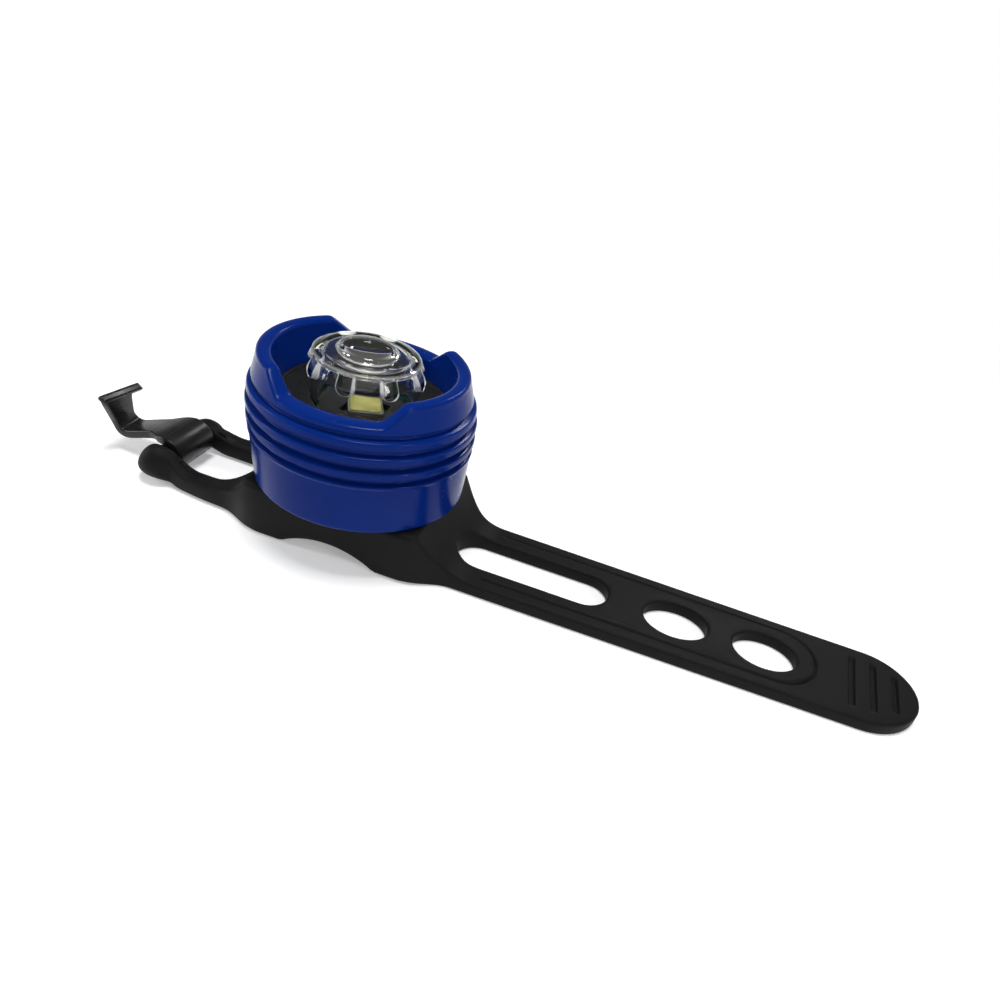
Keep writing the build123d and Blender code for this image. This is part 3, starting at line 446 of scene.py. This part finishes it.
# Each column has points from the outer edge in to the inset line, across that line, and on
# to the opening or the middle. Where the strap is narrow they draw together.
edge_steps = np.array((0.0, 0.02, 0.06, 0.12, 0.2, 0.3, 0.42, 0.6, 0.9, 1.2))
from_edge = outer[:, None] - edge_steps * room[:, None]
bend = np.clip(strap_x - LINE_BEND, 0.0, None)
line_rows = []
for radius in (LINE_R + LINE_SLOPE, LINE_R, LINE_R - LINE_W, LINE_R - LINE_W - LINE_SLOPE):
    straight = outer - (TAIL_HALF - radius) * room
    curved = np.sqrt(np.clip(radius ** 2 - bend ** 2, 0.0, None))
    line_rows.append(np.where(strap_x > LINE_BEND, curved, straight))
line_rows = np.stack(line_rows, axis=1)
shares = np.array((0.1, 0.17, 0.2, 0.23, 0.27, 0.32, 0.45, 0.6, 0.8))
to_line = from_edge[:, -1:] + (line_rows[:, :1] - from_edge[:, -1:]) * shares
inner_steps = np.array((0.5, 0.36, 0.25, 0.15, 0.08, 0.03, 0.0)) * room[:, None]
inner_rows = np.minimum(opening[:, None] + inner_steps, line_rows[:, 3:])
to_hole = line_rows[:, 3:] + (inner_rows[:, :1] - line_rows[:, 3:]) * np.array((0.25, 0.5, 0.75))
strap_y = np.concatenate([from_edge, to_line, line_rows, to_hole, inner_rows], axis=1)
columns, rows = strap_y.shape


def edge_distance(x, y, line):
    """Distance of each point to a line of points, one column of points at a time: the root
    of the least sum of squares. Where the line is out of reach, it is given as FAR_OFF."""
    result = np.empty_like(y)
    for index in range(len(x)):
        near = line[np.abs(line[:, 0] - x[index]) < LINE_REACH]
        if len(near) == 0:
            result[index] = FAR_OFF
            continue
        gap_x = x[index] - near[:, 0]
        gap_y = y[index][:, None] - near[:, 1]
        result[index] = np.sqrt((gap_x ** 2 + gap_y ** 2).min(axis=1))
    return result


# The outlines as dense lines. The outer one starts at the inner side of the knobs, because
# their flat end is rounded too.
fine_x = np.unique(np.concatenate([np.linspace(PIN_X - KNOB_R, TIP_X, 5000), strap_x,
                                   one_end(PIN_X - KNOB_R, PIN_X, 200), one_end(TIP_X, 80.0, 300)]))
knob_end = np.stack([np.full(24, PIN_X - KNOB_R), np.linspace(GAP_HALF, KNOB_Y, 24)], axis=1)
outer_line = np.concatenate([knob_end, np.stack([fine_x, half_width(fine_x)], axis=1)])
hole_x = [both_ends(at - HOLE_RX, at + HOLE_RX, 300) for at in HOLES_AT]
fine_x = np.unique(np.concatenate([fine_x, *hole_x, one_end(SLOT_FROM, 20.0, 200),
                                   one_end(SLOT_TO, 35.0, 200), one_end(GAP_X, gap_bend, 200)]))
open_line = np.stack([fine_x, hole_half_width(fine_x)], axis=1)
open_line = open_line[open_line[:, 1] > 0.0]
to_outer = edge_distance(strap_x, strap_y, outer_line)
to_opening = edge_distance(strap_x, strap_y, open_line)
to_outer[:, 0] = 0.0
to_outer[0] = 0.0
to_opening[opening > 0.0, -1] = 0.0


def rounding(radius, distance):
    """How far a round edge of that radius drops at a distance from it: the radius less the
    height of a circle there."""
    inward = radius - np.clip(distance, 0.0, radius)
    return radius - np.sqrt(np.clip(radius ** 2 - inward ** 2, 0.0, None))


def strap_half(side):
    """Top and bottom points of one half of the strap. The near arm ends in a high knob and
    the far arm in a lower one, and both bend down past the pin. Every edge is rounded by
    its distance to the outlines, and where two roundings meet, their drops blend."""
    x = strap_x[:, None]
    knob_top, nose = (PIN_Z + KNOB_R, NEAR_NOSE) if side < 0 else (FAR_TOP, FAR_NOSE)
    arm = bezier_height(strap_x, [(PIN_X, knob_top), (-25.8, knob_top), (-25.5, LOOP_T), (ARM_FROM, LOOP_T)])
    arm = arm - nose * np.clip(NOSE_X - strap_x, 0.0, None) ** 2
    rise = bezier_height(strap_x, [(-SLOPE_X, LOOP_T), (-16.3, LOOP_T), (-14.3, 5.0),
                                   (-SADDLE_FLAT, SADDLE_H)])
    fall = bezier_height(strap_x, [(SADDLE_FLAT, SADDLE_H), (14.3, 5.0), (16.3, TAIL_T),
                                   (SLOPE_X, TAIL_T)])
    top = np.where(strap_x < ARM_FROM, arm, np.where(strap_x < 0.0, rise, fall))
    arch = np.sqrt(np.clip(BAR_R ** 2 - strap_x ** 2, 0.0, None)) - BAR_BELOW
    lift = bezier_height(-strap_x, [(SADDLE_FLAT, 0.0), (14.3, 0.0), (17.0, LOOP_LIFT), (19.0, LOOP_LIFT)])
    bottom = np.where(strap_x < -SADDLE_FLAT, lift, np.clip(arch, 0.0, None))
    middle = (top + bottom) / 2
    full = (top - bottom) / 2
    knobby = eased(np.clip((KNOB_ROUND_FROM - strap_x) / (KNOB_ROUND_FROM - PIN_X), 0.0, 1.0))
    soft_saddle = SADDLE_EDGE_R * np.clip((SADDLE_EDGE_TO - np.abs(strap_x)) / SADDLE_EDGE_FADE, 0.0, 1.0)
    radius = np.minimum(EDGE_R + soft_saddle + (full - EDGE_R) * knobby, full)[:, None]
    inner_radius = np.minimum(EDGE_R * 0.9 + INNER_KNOB_R * knobby, full)[:, None]
    outer_drop, inner_drop = rounding(radius, to_outer), rounding(inner_radius, to_opening)
    drop = outer_drop + inner_drop - outer_drop * inner_drop / full[:, None]
    reach = np.where(strap_x > LINE_BEND, 0.0, TAIL_HALF - outer)[:, None]
    from_line = np.hypot(np.clip(x - LINE_BEND, 0.0, None), strap_y) + reach
    groove = np.clip((LINE_R + LINE_SLOPE - from_line) / LINE_SLOPE, 0.0, 1.0)
    groove *= np.clip((from_line - LINE_R + LINE_W + LINE_SLOPE) / LINE_SLOPE, 0.0, 1.0)
    on_tail = np.clip((x - LINE_FROM) / TAIL_LINE_FADE, 0.0, 1.0)
    on_arm = np.clip((x - ARM_LINE_FROM) / ARM_LINE_FADE, 0.0, 1.0)
    on_arm = on_arm * np.clip((ARM_LINE_TO - x) / ARM_LINE_FADE, 0.0, 1.0)
    carve = LINE_DEPTH * groove * np.maximum(on_tail, on_arm)
    for at in GRIPS_AT:
        half = float(half_width(np.array([at]))[0]) - GRIP_INSET
        across = np.clip((GRIP_HALF - np.abs(x - at)) / GRIP_SLOPE, 0.0, 1.0)
        along = np.clip((half + GRIP_SLOPE - strap_y) / (2 * GRIP_SLOPE), 0.0, 1.0)
        carve = np.maximum(carve, GRIP_DEPTH * eased(across) * along)
    above = np.maximum(top[:, None] - drop - carve, middle[:, None])
    below = np.minimum(bottom[:, None] + drop, middle[:, None])
    wide = np.broadcast_to(x, strap_y.shape)
    return [np.stack([wide, side * strap_y, height], axis=-1).reshape(-1, 3) for height in (above, below)]


def wall_faces(upper, lower):
    """Faces between two lines of point numbers of the same length."""
    return np.stack([upper[:-1], upper[1:], lower[1:], lower[:-1]], axis=1)


def half_faces(start):
    """Faces of one half of the strap, whose points are numbered from start: the top, the
    bottom, the walls along the outer edge and round the openings, and the two ends."""
    top = start + np.arange(columns * rows).reshape(columns, rows)
    low = top + columns * rows
    has_hole = (opening[:-1] > 0.0) | (opening[1:] > 0.0)
    return np.concatenate([grid_faces(columns, rows, start=start),
                           grid_faces(columns, rows, start=start + columns * rows)[:, ::-1],
                           wall_faces(top[:, 0], low[:, 0]), wall_faces(low[:, -1], top[:, -1])[has_hole],
                           wall_faces(low[0], top[0]), wall_faces(top[-1], low[-1])])


def rod(radius, length, sides=48, edge=0.15):
    """A closed rod along Y: its half outline, with rounded edges, turned about that axis."""
    profile = rounded([(0.0, -length / 2, 0.0), (radius, -length / 2, edge), (radius, length / 2, edge),
                       (0.0, length / 2, 0.0)], 0.6)
    angle = np.linspace(0.0, 2.0 * math.pi, sides, endpoint=False)
    points = turned(profile[:, :1], profile[:, 1:], angle)[:, (0, 2, 1)]
    return points, grid_faces(len(profile), sides, close_columns=True)


def weld(points, faces):
    """Joins points that coincide, and drops the faces that close up to nothing."""
    keys = np.round(points, 5)
    kept, index = np.unique(keys, axis=0, return_inverse=True)
    index = index.reshape(-1)
    corners = index[np.concatenate([faces[:, (0, 1, 2)], faces[:, (0, 2, 3)]])]
    first, second, third = corners.T
    sound = (first != second) & (second != third) & (third != first)
    return kept, corners[sound]


def outward(points, corners):
    """Turns all faces over where the closed surface that they make has a negative volume,
    which is a sixth of the sum of every face's triple product."""
    a, b, c = (points[corners[:, k]] for k in range(3))
    volume = np.einsum("ij,ij->i", a, np.cross(b, c)).sum() / 6.0
    return corners if volume > 0.0 else corners[:, ::-1]


def joined(parts):
    """Welds every part by itself, turns it outward, and puts them together in one mesh."""
    all_points, all_corners, count = [], [], 0
    for part_points, part_faces in parts:
        points, corners = weld(part_points, part_faces)
        all_points.append(points)
        all_corners.append(outward(points, corners) + count)
        count += len(points)
    return np.concatenate(all_points), np.concatenate(all_corners)


near_half, far_half = np.concatenate(strap_half(-1.0)), np.concatenate(strap_half(1.0))
strap_solid = (np.concatenate([near_half, far_half]),
               np.concatenate([half_faces(0), half_faces(len(near_half))[:, ::-1]]))
pin_points, pin_faces = rod(PIN_R, 2 * GAP_HALF + 1.2)
pin_solid = (pin_points + np.array((PIN_X, 0.0, PIN_Z)), pin_faces)
strap = object_from_grid("rubber_strap", *joined([strap_solid, pin_solid]))


def finish(name, dark, light, roughness, stops=(0.3, 0.7), patches=(225.0, 3.0), grain=(1800.0, 2.0),
           bump=0.1, specular=0.3, metallic=0.0):
    """A moulded, stamped or coated finish: two close shades and a roughness follow one
    noise, the patches, and a fine relief follows another, the grain."""
    material, tree, out = new_material(name)
    cloud = noise(tree, *patches)
    surface = node(tree, "ShaderNodeBsdfPrincipled", {
        "Base Color": two_shades(tree, cloud, stops, dark, light),
        "Roughness": remap(tree, cloud, (0.3, 0.7), roughness),
        "Normal": relief(tree, noise(tree, *grain), bump),
        "Metallic": metallic, "Specular IOR Level": specular})
    tree.links.new(surface.outputs[0], out.inputs["Surface"])
    return material


strap.data.materials.append(finish(
    "strap_rubber", (0.0055, 0.0055, 0.0062), (0.0095, 0.0095, 0.0102), (0.5, 0.64), stops=(0.3, 0.72),
    patches=(120.0, 4.0, 0.6), grain=(2600.0, 2.0, 0.6), bump=0.12, specular=0.12))
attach(strap, "carrier")
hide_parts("strap")


# The hook is a separate moulding of satin black plastic. Its sleeve is clipped over the
# pin of the strap, a narrow floor leads out to the wall, and a wide slanted barb on top of
# the wall holds in a hole of the tail.
HOOK_T, HOOK_EDGE, SLEEVE_MID, SLEEVE_HALF = 1.2, 0.3, 2.08, 3.95
BARB_AT, BARB_INSET, BARB_TILT = (-37.97, 8.8), 0.35, math.radians(39.0)
BARB_LEN, BARB_HALF, BARB_T = 1.1, 4.0, 0.7
LEAN_X, LEAN_FROM, LEAN_RISE, WALL_ASIDE, BARB_LEAN = -36.0, 3.6, 3.6, 0.85, 0.11
HOOK_STEP, SLEEVE_TO = 0.14, -29.3


def unit(vectors):
    """Vectors scaled to a length of one."""
    return vectors / np.linalg.norm(vectors, axis=-1, keepdims=True)


def run_along(path):
    """The length of a line from its start to each of its points."""
    return np.concatenate([[0.0], np.cumsum(np.linalg.norm(np.diff(path, axis=0), axis=1))])


def resample(path, step):
    """Evenly spaced points along a line, with its first and last point."""
    run = run_along(path)
    at = np.linspace(0.0, run[-1], max(3, int(run[-1] / step) + 1))
    return np.stack([np.interp(at, run, path[:, k]) for k in range(path.shape[1])], axis=1)


def sleeve_arc(first, last, count):
    """Points (x, z) of an arc about the pin, from one angle to another in degrees."""
    angle = np.radians(np.linspace(first, last, count))
    return np.stack([PIN_X + SLEEVE_MID * np.cos(angle), PIN_Z + SLEEVE_MID * np.sin(angle)], axis=1)


def rounded_bar(half_y, half_n, corner, per_corner=6):
    """Rounded rectangle in (y, n), run anticlockwise, with every corner an arc."""
    angle = np.linspace(0.0, math.pi / 2, per_corner)
    pieces = []
    for quarter, (sy, sn) in enumerate(((1, 1), (-1, 1), (-1, -1), (1, -1))):
        a = angle + quarter * math.pi / 2
        pieces.append(np.stack([sy * (half_y - corner) + corner * np.cos(a),
                                sn * (half_n - corner) + corner * np.sin(a)], axis=1))
    return np.concatenate(pieces)


def bent_bar(path, half_widths, thickness, corner):
    """A flat bar that follows a path in XZ: rounded sections stand square to it, and at its
    two ends they shrink and close up along a quarter circle. A fan closes each end."""
    tangent = unit(np.gradient(path, axis=0))
    normal = np.stack([-tangent[:, 1], tangent[:, 0]], axis=1)
    end = len(path) - 1
    swells = np.array((0.0, 0.35, 0.7, 0.92, 1.0)) * math.pi / 2
    stations = [(0, swell, -1) for swell in swells[::-1]]
    stations += [(index, 0.0, 0) for index in range(1, end)]
    stations += [(end, swell, 1) for swell in swells]
    sections = []
    for index, swell, way in stations:
        shrink = corner * (1.0 - math.cos(swell))
        shift = corner * (math.sin(swell) - 1.0) * way
        section = rounded_bar(half_widths[index] - shrink, thickness[index] / 2 - shrink,
                              max(corner - shrink, 0.02))
        xz = path[index] + tangent[index] * shift + normal[index] * section[:, 1:]
        sections.append(np.stack([xz[:, 0], section[:, 0], xz[:, 1]], axis=1))
    sections = np.stack(sections)
    rings, around = sections.shape[:2]
    points = sections.reshape(-1, 3)
    tips = np.stack([sections[0].mean(axis=0), sections[-1].mean(axis=0)])
    ring = np.arange(around)
    after = (ring + 1) % around
    base = (rings - 1) * around
    first_fan = np.stack([np.full(around, len(points)), after, ring, ring], axis=1)
    last_fan = np.stack([np.full(around, len(points) + 1), base + ring, base + after, base + after], axis=1)
    faces = grid_faces(rings, around, close_columns=True)
    return np.concatenate([points, tips]), np.concatenate([faces, first_fan, last_fan])


sleeve_line = sleeve_arc(-55.0, 88.0, 60)
floor_line = bezier_line([sleeve_line[-1], (-30.4, 5.22), (-33.4, 3.95), (-35.4, 3.2)], 50)
wall_line = bezier_line([(-35.4, 3.2), (-37.0, 2.62), (-37.75, 3.3), (-37.88, 5.0)], 36)
top_line = bezier_line([(-37.88, 5.0), (-37.88, 6.0), (-37.87, 7.0), (-37.87, 8.1)], 20)
hook_line = resample(np.concatenate([sleeve_line, floor_line[1:], wall_line[1:], top_line[1:]]), HOOK_STEP)
along = run_along(hook_line)
to_sleeve_end = np.where(hook_line[:, 1] < PIN_Z, np.inf, np.abs(hook_line[:, 0] - SLEEVE_TO))
sleeve_end = float(along[np.argmin(to_sleeve_end)])
# Half widths at distances along the hook: a wide sleeve, a narrow floor, and a wall that
# widens towards the barb. A moving average rounds their corners.
widths_at = [(0.0, SLEEVE_HALF), (sleeve_end - 0.4, SLEEVE_HALF), (sleeve_end + 0.7, 3.6),
             (sleeve_end + 2.0, 2.65), (sleeve_end + 2.9, 2.4), (sleeve_end + 6.2, 2.3),
             (sleeve_end + 8.4, 2.15), (sleeve_end + 9.8, 1.95), (sleeve_end + 11.2, 2.25),
             (sleeve_end + 12.2, 2.5), (along[-1], 2.75)]
half_widths = np.interp(along, [w[0] for w in widths_at], [w[1] for w in widths_at])
kernel = np.hanning(11)
half_widths = np.convolve(np.pad(half_widths, 5, mode="edge"), kernel / kernel.sum(), mode="valid")
hook_body = bent_bar(hook_line, half_widths, np.full(len(along), HOOK_T), HOOK_EDGE)

barb_way = np.array((math.cos(BARB_TILT), -math.sin(BARB_TILT)))
barb_down = np.array((barb_way[1], -barb_way[0]))
barb_from = np.array(BARB_AT) + barb_down * BARB_INSET
barb_line = resample(np.stack([barb_from, barb_from + barb_way * BARB_LEN]), HOOK_STEP)
barb = bent_bar(barb_line, np.full(len(barb_line), BARB_HALF), np.full(len(barb_line), BARB_T), 0.16)
lip_share = np.linspace(0.0, 1.0, 24)
lip = bent_bar(sleeve_arc(86.0, 132.0, 24), SLEEVE_HALF - 1.3 * lip_share ** 2,
               HOOK_T - 0.1 * lip_share, 0.28)
hook_points, hook_corners = joined([hook_body, barb, lip])

# The wall stands a little to the near side, and the barb on it leans down to the far side.
high = np.clip((hook_points[:, 2] - LEAN_FROM) / LEAN_RISE, 0.0, 1.0) * (hook_points[:, 0] < LEAN_X)
is_wall = np.arange(len(hook_points)) < len(weld(*hook_body)[0])
hook_points[:, 1] -= WALL_ASIDE * high * is_wall
hook_points[:, 2] -= BARB_LEAN * hook_points[:, 1] * high
hook = object_from_grid("strap_hook", hook_points, hook_corners)
hook.data.materials.append(finish(
    "hook_plastic", (0.0085, 0.0085, 0.0095), (0.016, 0.0145, 0.0125), (0.24, 0.38), stops=(0.35, 0.75),
    patches=(260.0, 4.0, 0.55), grain=(1500.0, 3.0, 0.6)))
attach(hook, "hook_body")
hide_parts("hook")


# The gasket is a black moulded ring. It sits in the housing round the lens, holds the
# lens flange down, and its thin raised rim fills the corner below the blue wall.
GASKET_COLUMNS = 240
gasket_line = rounded([(9.0, 20.05, 0.0), (7.2, 20.05, 0.05), (7.2, 20.4, 0.12), (10.75, 20.4, 0.08),
                       (10.85, 20.7, 0.1), (11.35, 20.7, 0.12), (11.35, 19.0, 0.1), (10.05, 19.0, 0.05),
                       (10.05, 20.05, 0.0), (9.05, 20.05, 0.0)], 0.2)
turn = np.linspace(0.0, 2.0 * math.pi, GASKET_COLUMNS, endpoint=False)
gasket_ring = (turned(gasket_line[:, :1], gasket_line[:, 1:], turn),
               grid_faces(len(gasket_line), GASKET_COLUMNS, True, True))
gasket = object_from_grid("lens_ring", *joined([gasket_ring]))
gasket.data.materials.append(finish(
    "gasket_black", (0.0085, 0.0086, 0.0082), (0.0165, 0.017, 0.0165), (0.5, 0.5), stops=(0.35, 0.75),
    patches=(1800.0, 2.0), bump=0.15, specular=0.15))
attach(gasket, "lamp_head")
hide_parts("lens_gasket")


# The lens is one clear moulding and also the push button: a flange under the gasket, a
# thin wall, and a thick cap with a round eye. Eight short teeth hang from the cap's edge.
LENS_COLUMNS, TEETH, TOOTH_TURN = 480, 8, math.radians(3.5)
LENS_R, LEDGE_R, TOOTH_R, TOOTH_HALF, TOOTH_LOW = 7.05, 6.98, 7.78, 1.12, 23.75
FLANGE_R, FLANGE_LOW, FLANGE_TOP, BORE_R, WALL_TOP = 9.9, 19.5, 20.0, 6.3, 23.3
EYE_R, EYE_Z, EYE_RISE, BULB_R, BULB_Z, BULB_DROP = 3.87, 27.32, 0.83, 3.4, 25.9, 0.9
TAPER, TAPER_FROM, TAPER_RISE, LEDGE_FROM, LEDGE_RISE = 0.45, 23.6, 2.8, 26.1, 0.22
TOOTH_SLOPE, TOOTH_BACK_FROM, TOOTH_BACK_RISE = 0.16, 24.6, 1.7
wall_low = rounded([(BORE_R, FLANGE_LOW, 0.0), (6.9, FLANGE_LOW, 0.0), (FLANGE_R, FLANGE_LOW, 0.12),
                    (FLANGE_R, FLANGE_TOP, 0.12), (LENS_R, FLANGE_TOP, 0.15), (LENS_R, WALL_TOP, 0.0)], 0.5)
tooth_z = np.linspace(WALL_TOP, 26.4, 44)[1:]
taper = TAPER * np.clip((tooth_z - TAPER_FROM) / TAPER_RISE, 0.0, 1.0) ** 1.5
tooth_zone = np.stack([LENS_R - taper, tooth_z], axis=1)
cap_over = rounded([(LEDGE_R, 26.5, 0.0), (6.95, 26.66, 0.1), (6.5, 26.86, 0.25), (5.7, 27.14, 0.8),
                    (5.2, 27.2, 0.8), (4.05, 27.2, 0.1), (3.9, 27.3, 0.12)], 0.3)
dome = np.linspace(0.0, 1.0, 18)[1:] * math.pi / 2
eye_top = np.stack([EYE_R * np.cos(dome), EYE_Z + EYE_RISE * np.sin(dome)], axis=1)
eye_top[-1, 0] = 0.0
eye_low = np.stack([BULB_R * np.sin(dome), BULB_Z - BULB_DROP * np.cos(dome)], axis=1)
inner_wall = rounded([(BULB_R, BULB_Z, 0.0), (5.5, 25.9, 0.5), (BORE_R, 24.0, 0.8),
                      (BORE_R, FLANGE_LOW, 0.0)], 0.5)[1:-1]
lens_line = np.concatenate([wall_low, tooth_zone, cap_over, eye_top, [[0.0, BULB_Z - BULB_DROP]], eye_low,
                            inner_wall])
pitch = 2.0 * math.pi / TEETH
low_centre = TOOTH_LOW + TOOTH_HALF


def from_tooth(turn, height):
    """Distance of a point on the wall from the middle line of the nearest tooth, which
    ends at the centre of the tooth's round tip."""
    aside = np.abs((turn - TOOTH_TURN + pitch / 2) % pitch - pitch / 2) * LENS_R
    return np.hypot(aside, np.clip(low_centre - height, 0.0, None))


turn = np.linspace(0.0, 2.0 * math.pi, LENS_COLUMNS, endpoint=False)
lens_r, lens_z = (np.repeat(lens_line[:, k:k + 1], LENS_COLUMNS, axis=1) for k in (0, 1))
tooth = eased(np.clip((TOOTH_HALF - from_tooth(turn, lens_z)) / TOOTH_SLOPE, 0.0, 1.0))
outer_zone = np.zeros(len(lens_line), dtype=bool)
outer_zone[len(wall_low):len(wall_low) + len(tooth_zone)] = True
ledge_r = lens_r + (LEDGE_R - lens_r) * eased(np.clip((lens_z - LEDGE_FROM) / LEDGE_RISE, 0.0, 1.0))
back = np.clip((lens_z - TOOTH_BACK_FROM) / TOOTH_BACK_RISE, 0.0, 1.0) ** 1.5
tooth_face = TOOTH_R + (LEDGE_R - 0.02 - TOOTH_R) * back
pushed = np.maximum(ledge_r, lens_r + np.clip(tooth_face - lens_r, 0.0, None) * tooth)
lens_r = np.where(outer_zone[:, None], pushed, lens_r)
lens_shell = (turned(lens_r, lens_z, turn), grid_faces(len(lens_line), LENS_COLUMNS, True, True))
lens = object_from_grid("clear_lens", *joined([lens_shell]))

# Painted highlights: the edges of the teeth and the cap's edge are painted pale in the clear plastic, as
# glints. The attribute made here is 1 on the edges of the teeth, 0.3 on the cap's edge, and 0 elsewhere.
lens_mesh = lens.data
places = np.empty(len(lens_mesh.vertices) * 3)
lens_mesh.vertices.foreach_get("co", places)
place_x, place_y, place_z = places.reshape(-1, 3).T / MM
edge_gap = np.abs(from_tooth(np.arctan2(place_y, place_x), place_z) - TOOTH_HALF + 0.06)
outer_face = np.hypot(place_x, place_y) > 6.45
on_tooth = outer_face & (place_z > TOOTH_LOW - 0.15) & (place_z < 26.45)
tooth_glint = np.clip(1.6 - edge_gap / 0.13, 0.0, 1.0) * on_tooth
rim_glint = 0.3 * np.clip(1.0 - np.abs(place_z - 26.68) / 0.16, 0.0, 1.0) * outer_face
glint_layer = lens_mesh.attributes.new("painted_edge_glint", "FLOAT", "POINT")
glint_layer.data.foreach_set("value", np.maximum(tooth_glint, rim_glint).astype(np.float32))

glass_material, tree, out = new_material("lens_clear")
flow = noise(tree, 160.0, 2.0)
# The attribute read here holds the painted edge highlight: where it is 1, transmission falls to 0.1 and the
# pale base colour shows as a painted highlight.
moulded = node(tree, "ShaderNodeAttribute", attribute_name="painted_edge_glint")
clear = node(tree, "ShaderNodeBsdfPrincipled", {
    "Base Color": (0.93, 0.93, 0.9, 1.0), "IOR": 1.49,
    "Transmission Weight": remap(tree, moulded.outputs["Fac"], (0.0, 1.0), (1.0, 0.1)),
    "Roughness": remap(tree, flow, (0.3, 0.7), (0.02, 0.05)),
    "Normal": relief(tree, flow, 0.04, 0.0003)})
see_through = node(tree, "ShaderNodeBsdfTransparent", {"Color": (0.92, 0.93, 0.92, 1.0)})
path = node(tree, "ShaderNodeLightPath")
lens_mix = node(tree, "ShaderNodeMixShader", {0: path.outputs["Is Shadow Ray"], 1: clear.outputs[0],
                                              2: see_through.outputs[0]})
tree.links.new(lens_mix.outputs[0], out.inputs["Surface"])
lens.data.materials.append(glass_material)
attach(lens, "lens_body")
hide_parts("lens")


# The light source is a square chip soldered to the board under the lens, turned as the
# photograph shows it: a white frame that is nearly covered by its yellow phosphor.
LED_TURN, CHIP_SIDES, CHIP_SQUARE = math.radians(28.0), 96, 9.0
FRAME_HALF, FRAME_LOW, FRAME_TOP = 2.3, 18.1, 19.66
PHOSPHOR_HALF, PHOSPHOR_LOW, PHOSPHOR_TOP = 2.06, 19.56, 19.78


def chip_block(half, low, top, corner, edge, dent):
    """A square block with rounded corners and upper edges, as rings that close at the middle
    of both faces: cosine and sine to the power of 2 / CHIP_SQUARE make a circle a rounded
    square. A dent sinks the middle of its top."""
    angle = np.linspace(0.0, 2.0 * math.pi, CHIP_SIDES, endpoint=False)
    square_x, square_y = (np.sign(wave) * np.abs(wave) ** (2.0 / CHIP_SQUARE)
                          for wave in (np.cos(angle), np.sin(angle)))
    profile = rounded([(0.0, low, 0.0), (half, low, 0.0), (half, top, edge), (half - corner, top, 0.05),
                       (half - corner - 0.1, top - dent, 0.05), (0.0, top - dent, 0.0)], 0.3)
    flat_x, flat_y = profile[:, :1] * square_x, profile[:, :1] * square_y
    turned_x = flat_x * math.cos(LED_TURN) - flat_y * math.sin(LED_TURN)
    turned_y = flat_x * math.sin(LED_TURN) + flat_y * math.cos(LED_TURN)
    grid = np.stack([turned_x, turned_y, np.repeat(profile[:, 1:], CHIP_SIDES, axis=1)], axis=-1)
    return grid.reshape(-1, 3), grid_faces(len(profile), CHIP_SIDES, close_columns=True)


frame_block = chip_block(FRAME_HALF, FRAME_LOW, FRAME_TOP, 0.12, 0.08, 0.12)
led_frame = object_from_grid("light_frame", *joined([frame_block]))
led_frame.data.materials.append(finish("led_white", (0.14, 0.14, 0.12), (0.2, 0.2, 0.17), (0.4, 0.5)))
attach(led_frame, "lamp_head")
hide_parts("led_body")
phosphor_block = chip_block(PHOSPHOR_HALF, PHOSPHOR_LOW, PHOSPHOR_TOP, 0.2, 0.08, 0.04)
led_face = object_from_grid("light_phosphor", *joined([phosphor_block]))
led_face.data.materials.append(finish("led_yellow", (0.16, 0.15, 0.045), (0.3, 0.28, 0.09), (0.35, 0.5),
                                      patches=(550.0, 3.0), grain=(4400.0, 2.0), bump=0.25))
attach(led_face, "lamp_head")
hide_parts("led_phosphor")


# The pieces inside the lamp keep their solids and get the finish of what they are made of:
# moulded plastic, stamped and plated metal, cast rubber, and a coated circuit board.
black_plastic = finish("black_plastic", (0.012, 0.012, 0.013), (0.02, 0.02, 0.021), (0.35, 0.5))
spring_metal = finish("contact_metal", (0.62, 0.55, 0.42), (0.74, 0.66, 0.5), (0.2, 0.32), metallic=1.0)
cell_steel = finish("cell_metal", (0.58, 0.58, 0.57), (0.7, 0.7, 0.69), (0.18, 0.3), patches=(125.0, 3.0),
                    grain=(1000.0, 2.0), bump=0.06, metallic=1.0)
seal_rubber = finish("seal_rubber", (0.011, 0.011, 0.012), (0.018, 0.018, 0.02), (0.45, 0.6))
board_green = finish("board_coat", (0.008, 0.07, 0.03), (0.012, 0.1, 0.045), (0.25, 0.4),
                     patches=(325.0, 3.0), grain=(2600.0, 2.0))
screw_steel = finish("screw_metal", (0.5, 0.5, 0.5), (0.64, 0.64, 0.63), (0.22, 0.34), metallic=1.0)
mask_black = finish("mask_black", (0.008, 0.008, 0.008), (0.016, 0.016, 0.015), (0.4, 0.55), bump=0.2)
switch_black = finish("switch_plastic", (0.02, 0.02, 0.021), (0.035, 0.035, 0.036), (0.4, 0.5))
chip_black = finish("chip_black", (0.014, 0.014, 0.015), (0.026, 0.026, 0.027), (0.5, 0.62), bump=0.2)
finishes = {
    "base_plug": black_plastic, "cell_cradle": black_plastic, "lower_contact": spring_metal,
    "centre_leaf": spring_metal, "outer_leaf": spring_metal, "cell_lower": cell_steel,
    "cell_upper": cell_steel, "seal_ring": seal_rubber, "circuit_board": board_green,
    "board_screws": screw_steel, "board_mask": mask_black, "switch_body": switch_black,
    "switch_plunger": black_plastic, "driver_chip": chip_black, "resistors": chip_black}
for solid_name, solid_finish in finishes.items():
    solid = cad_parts[solid_name]
    for solid_slot in solid.material_slots:
        solid_slot.material = solid_finish
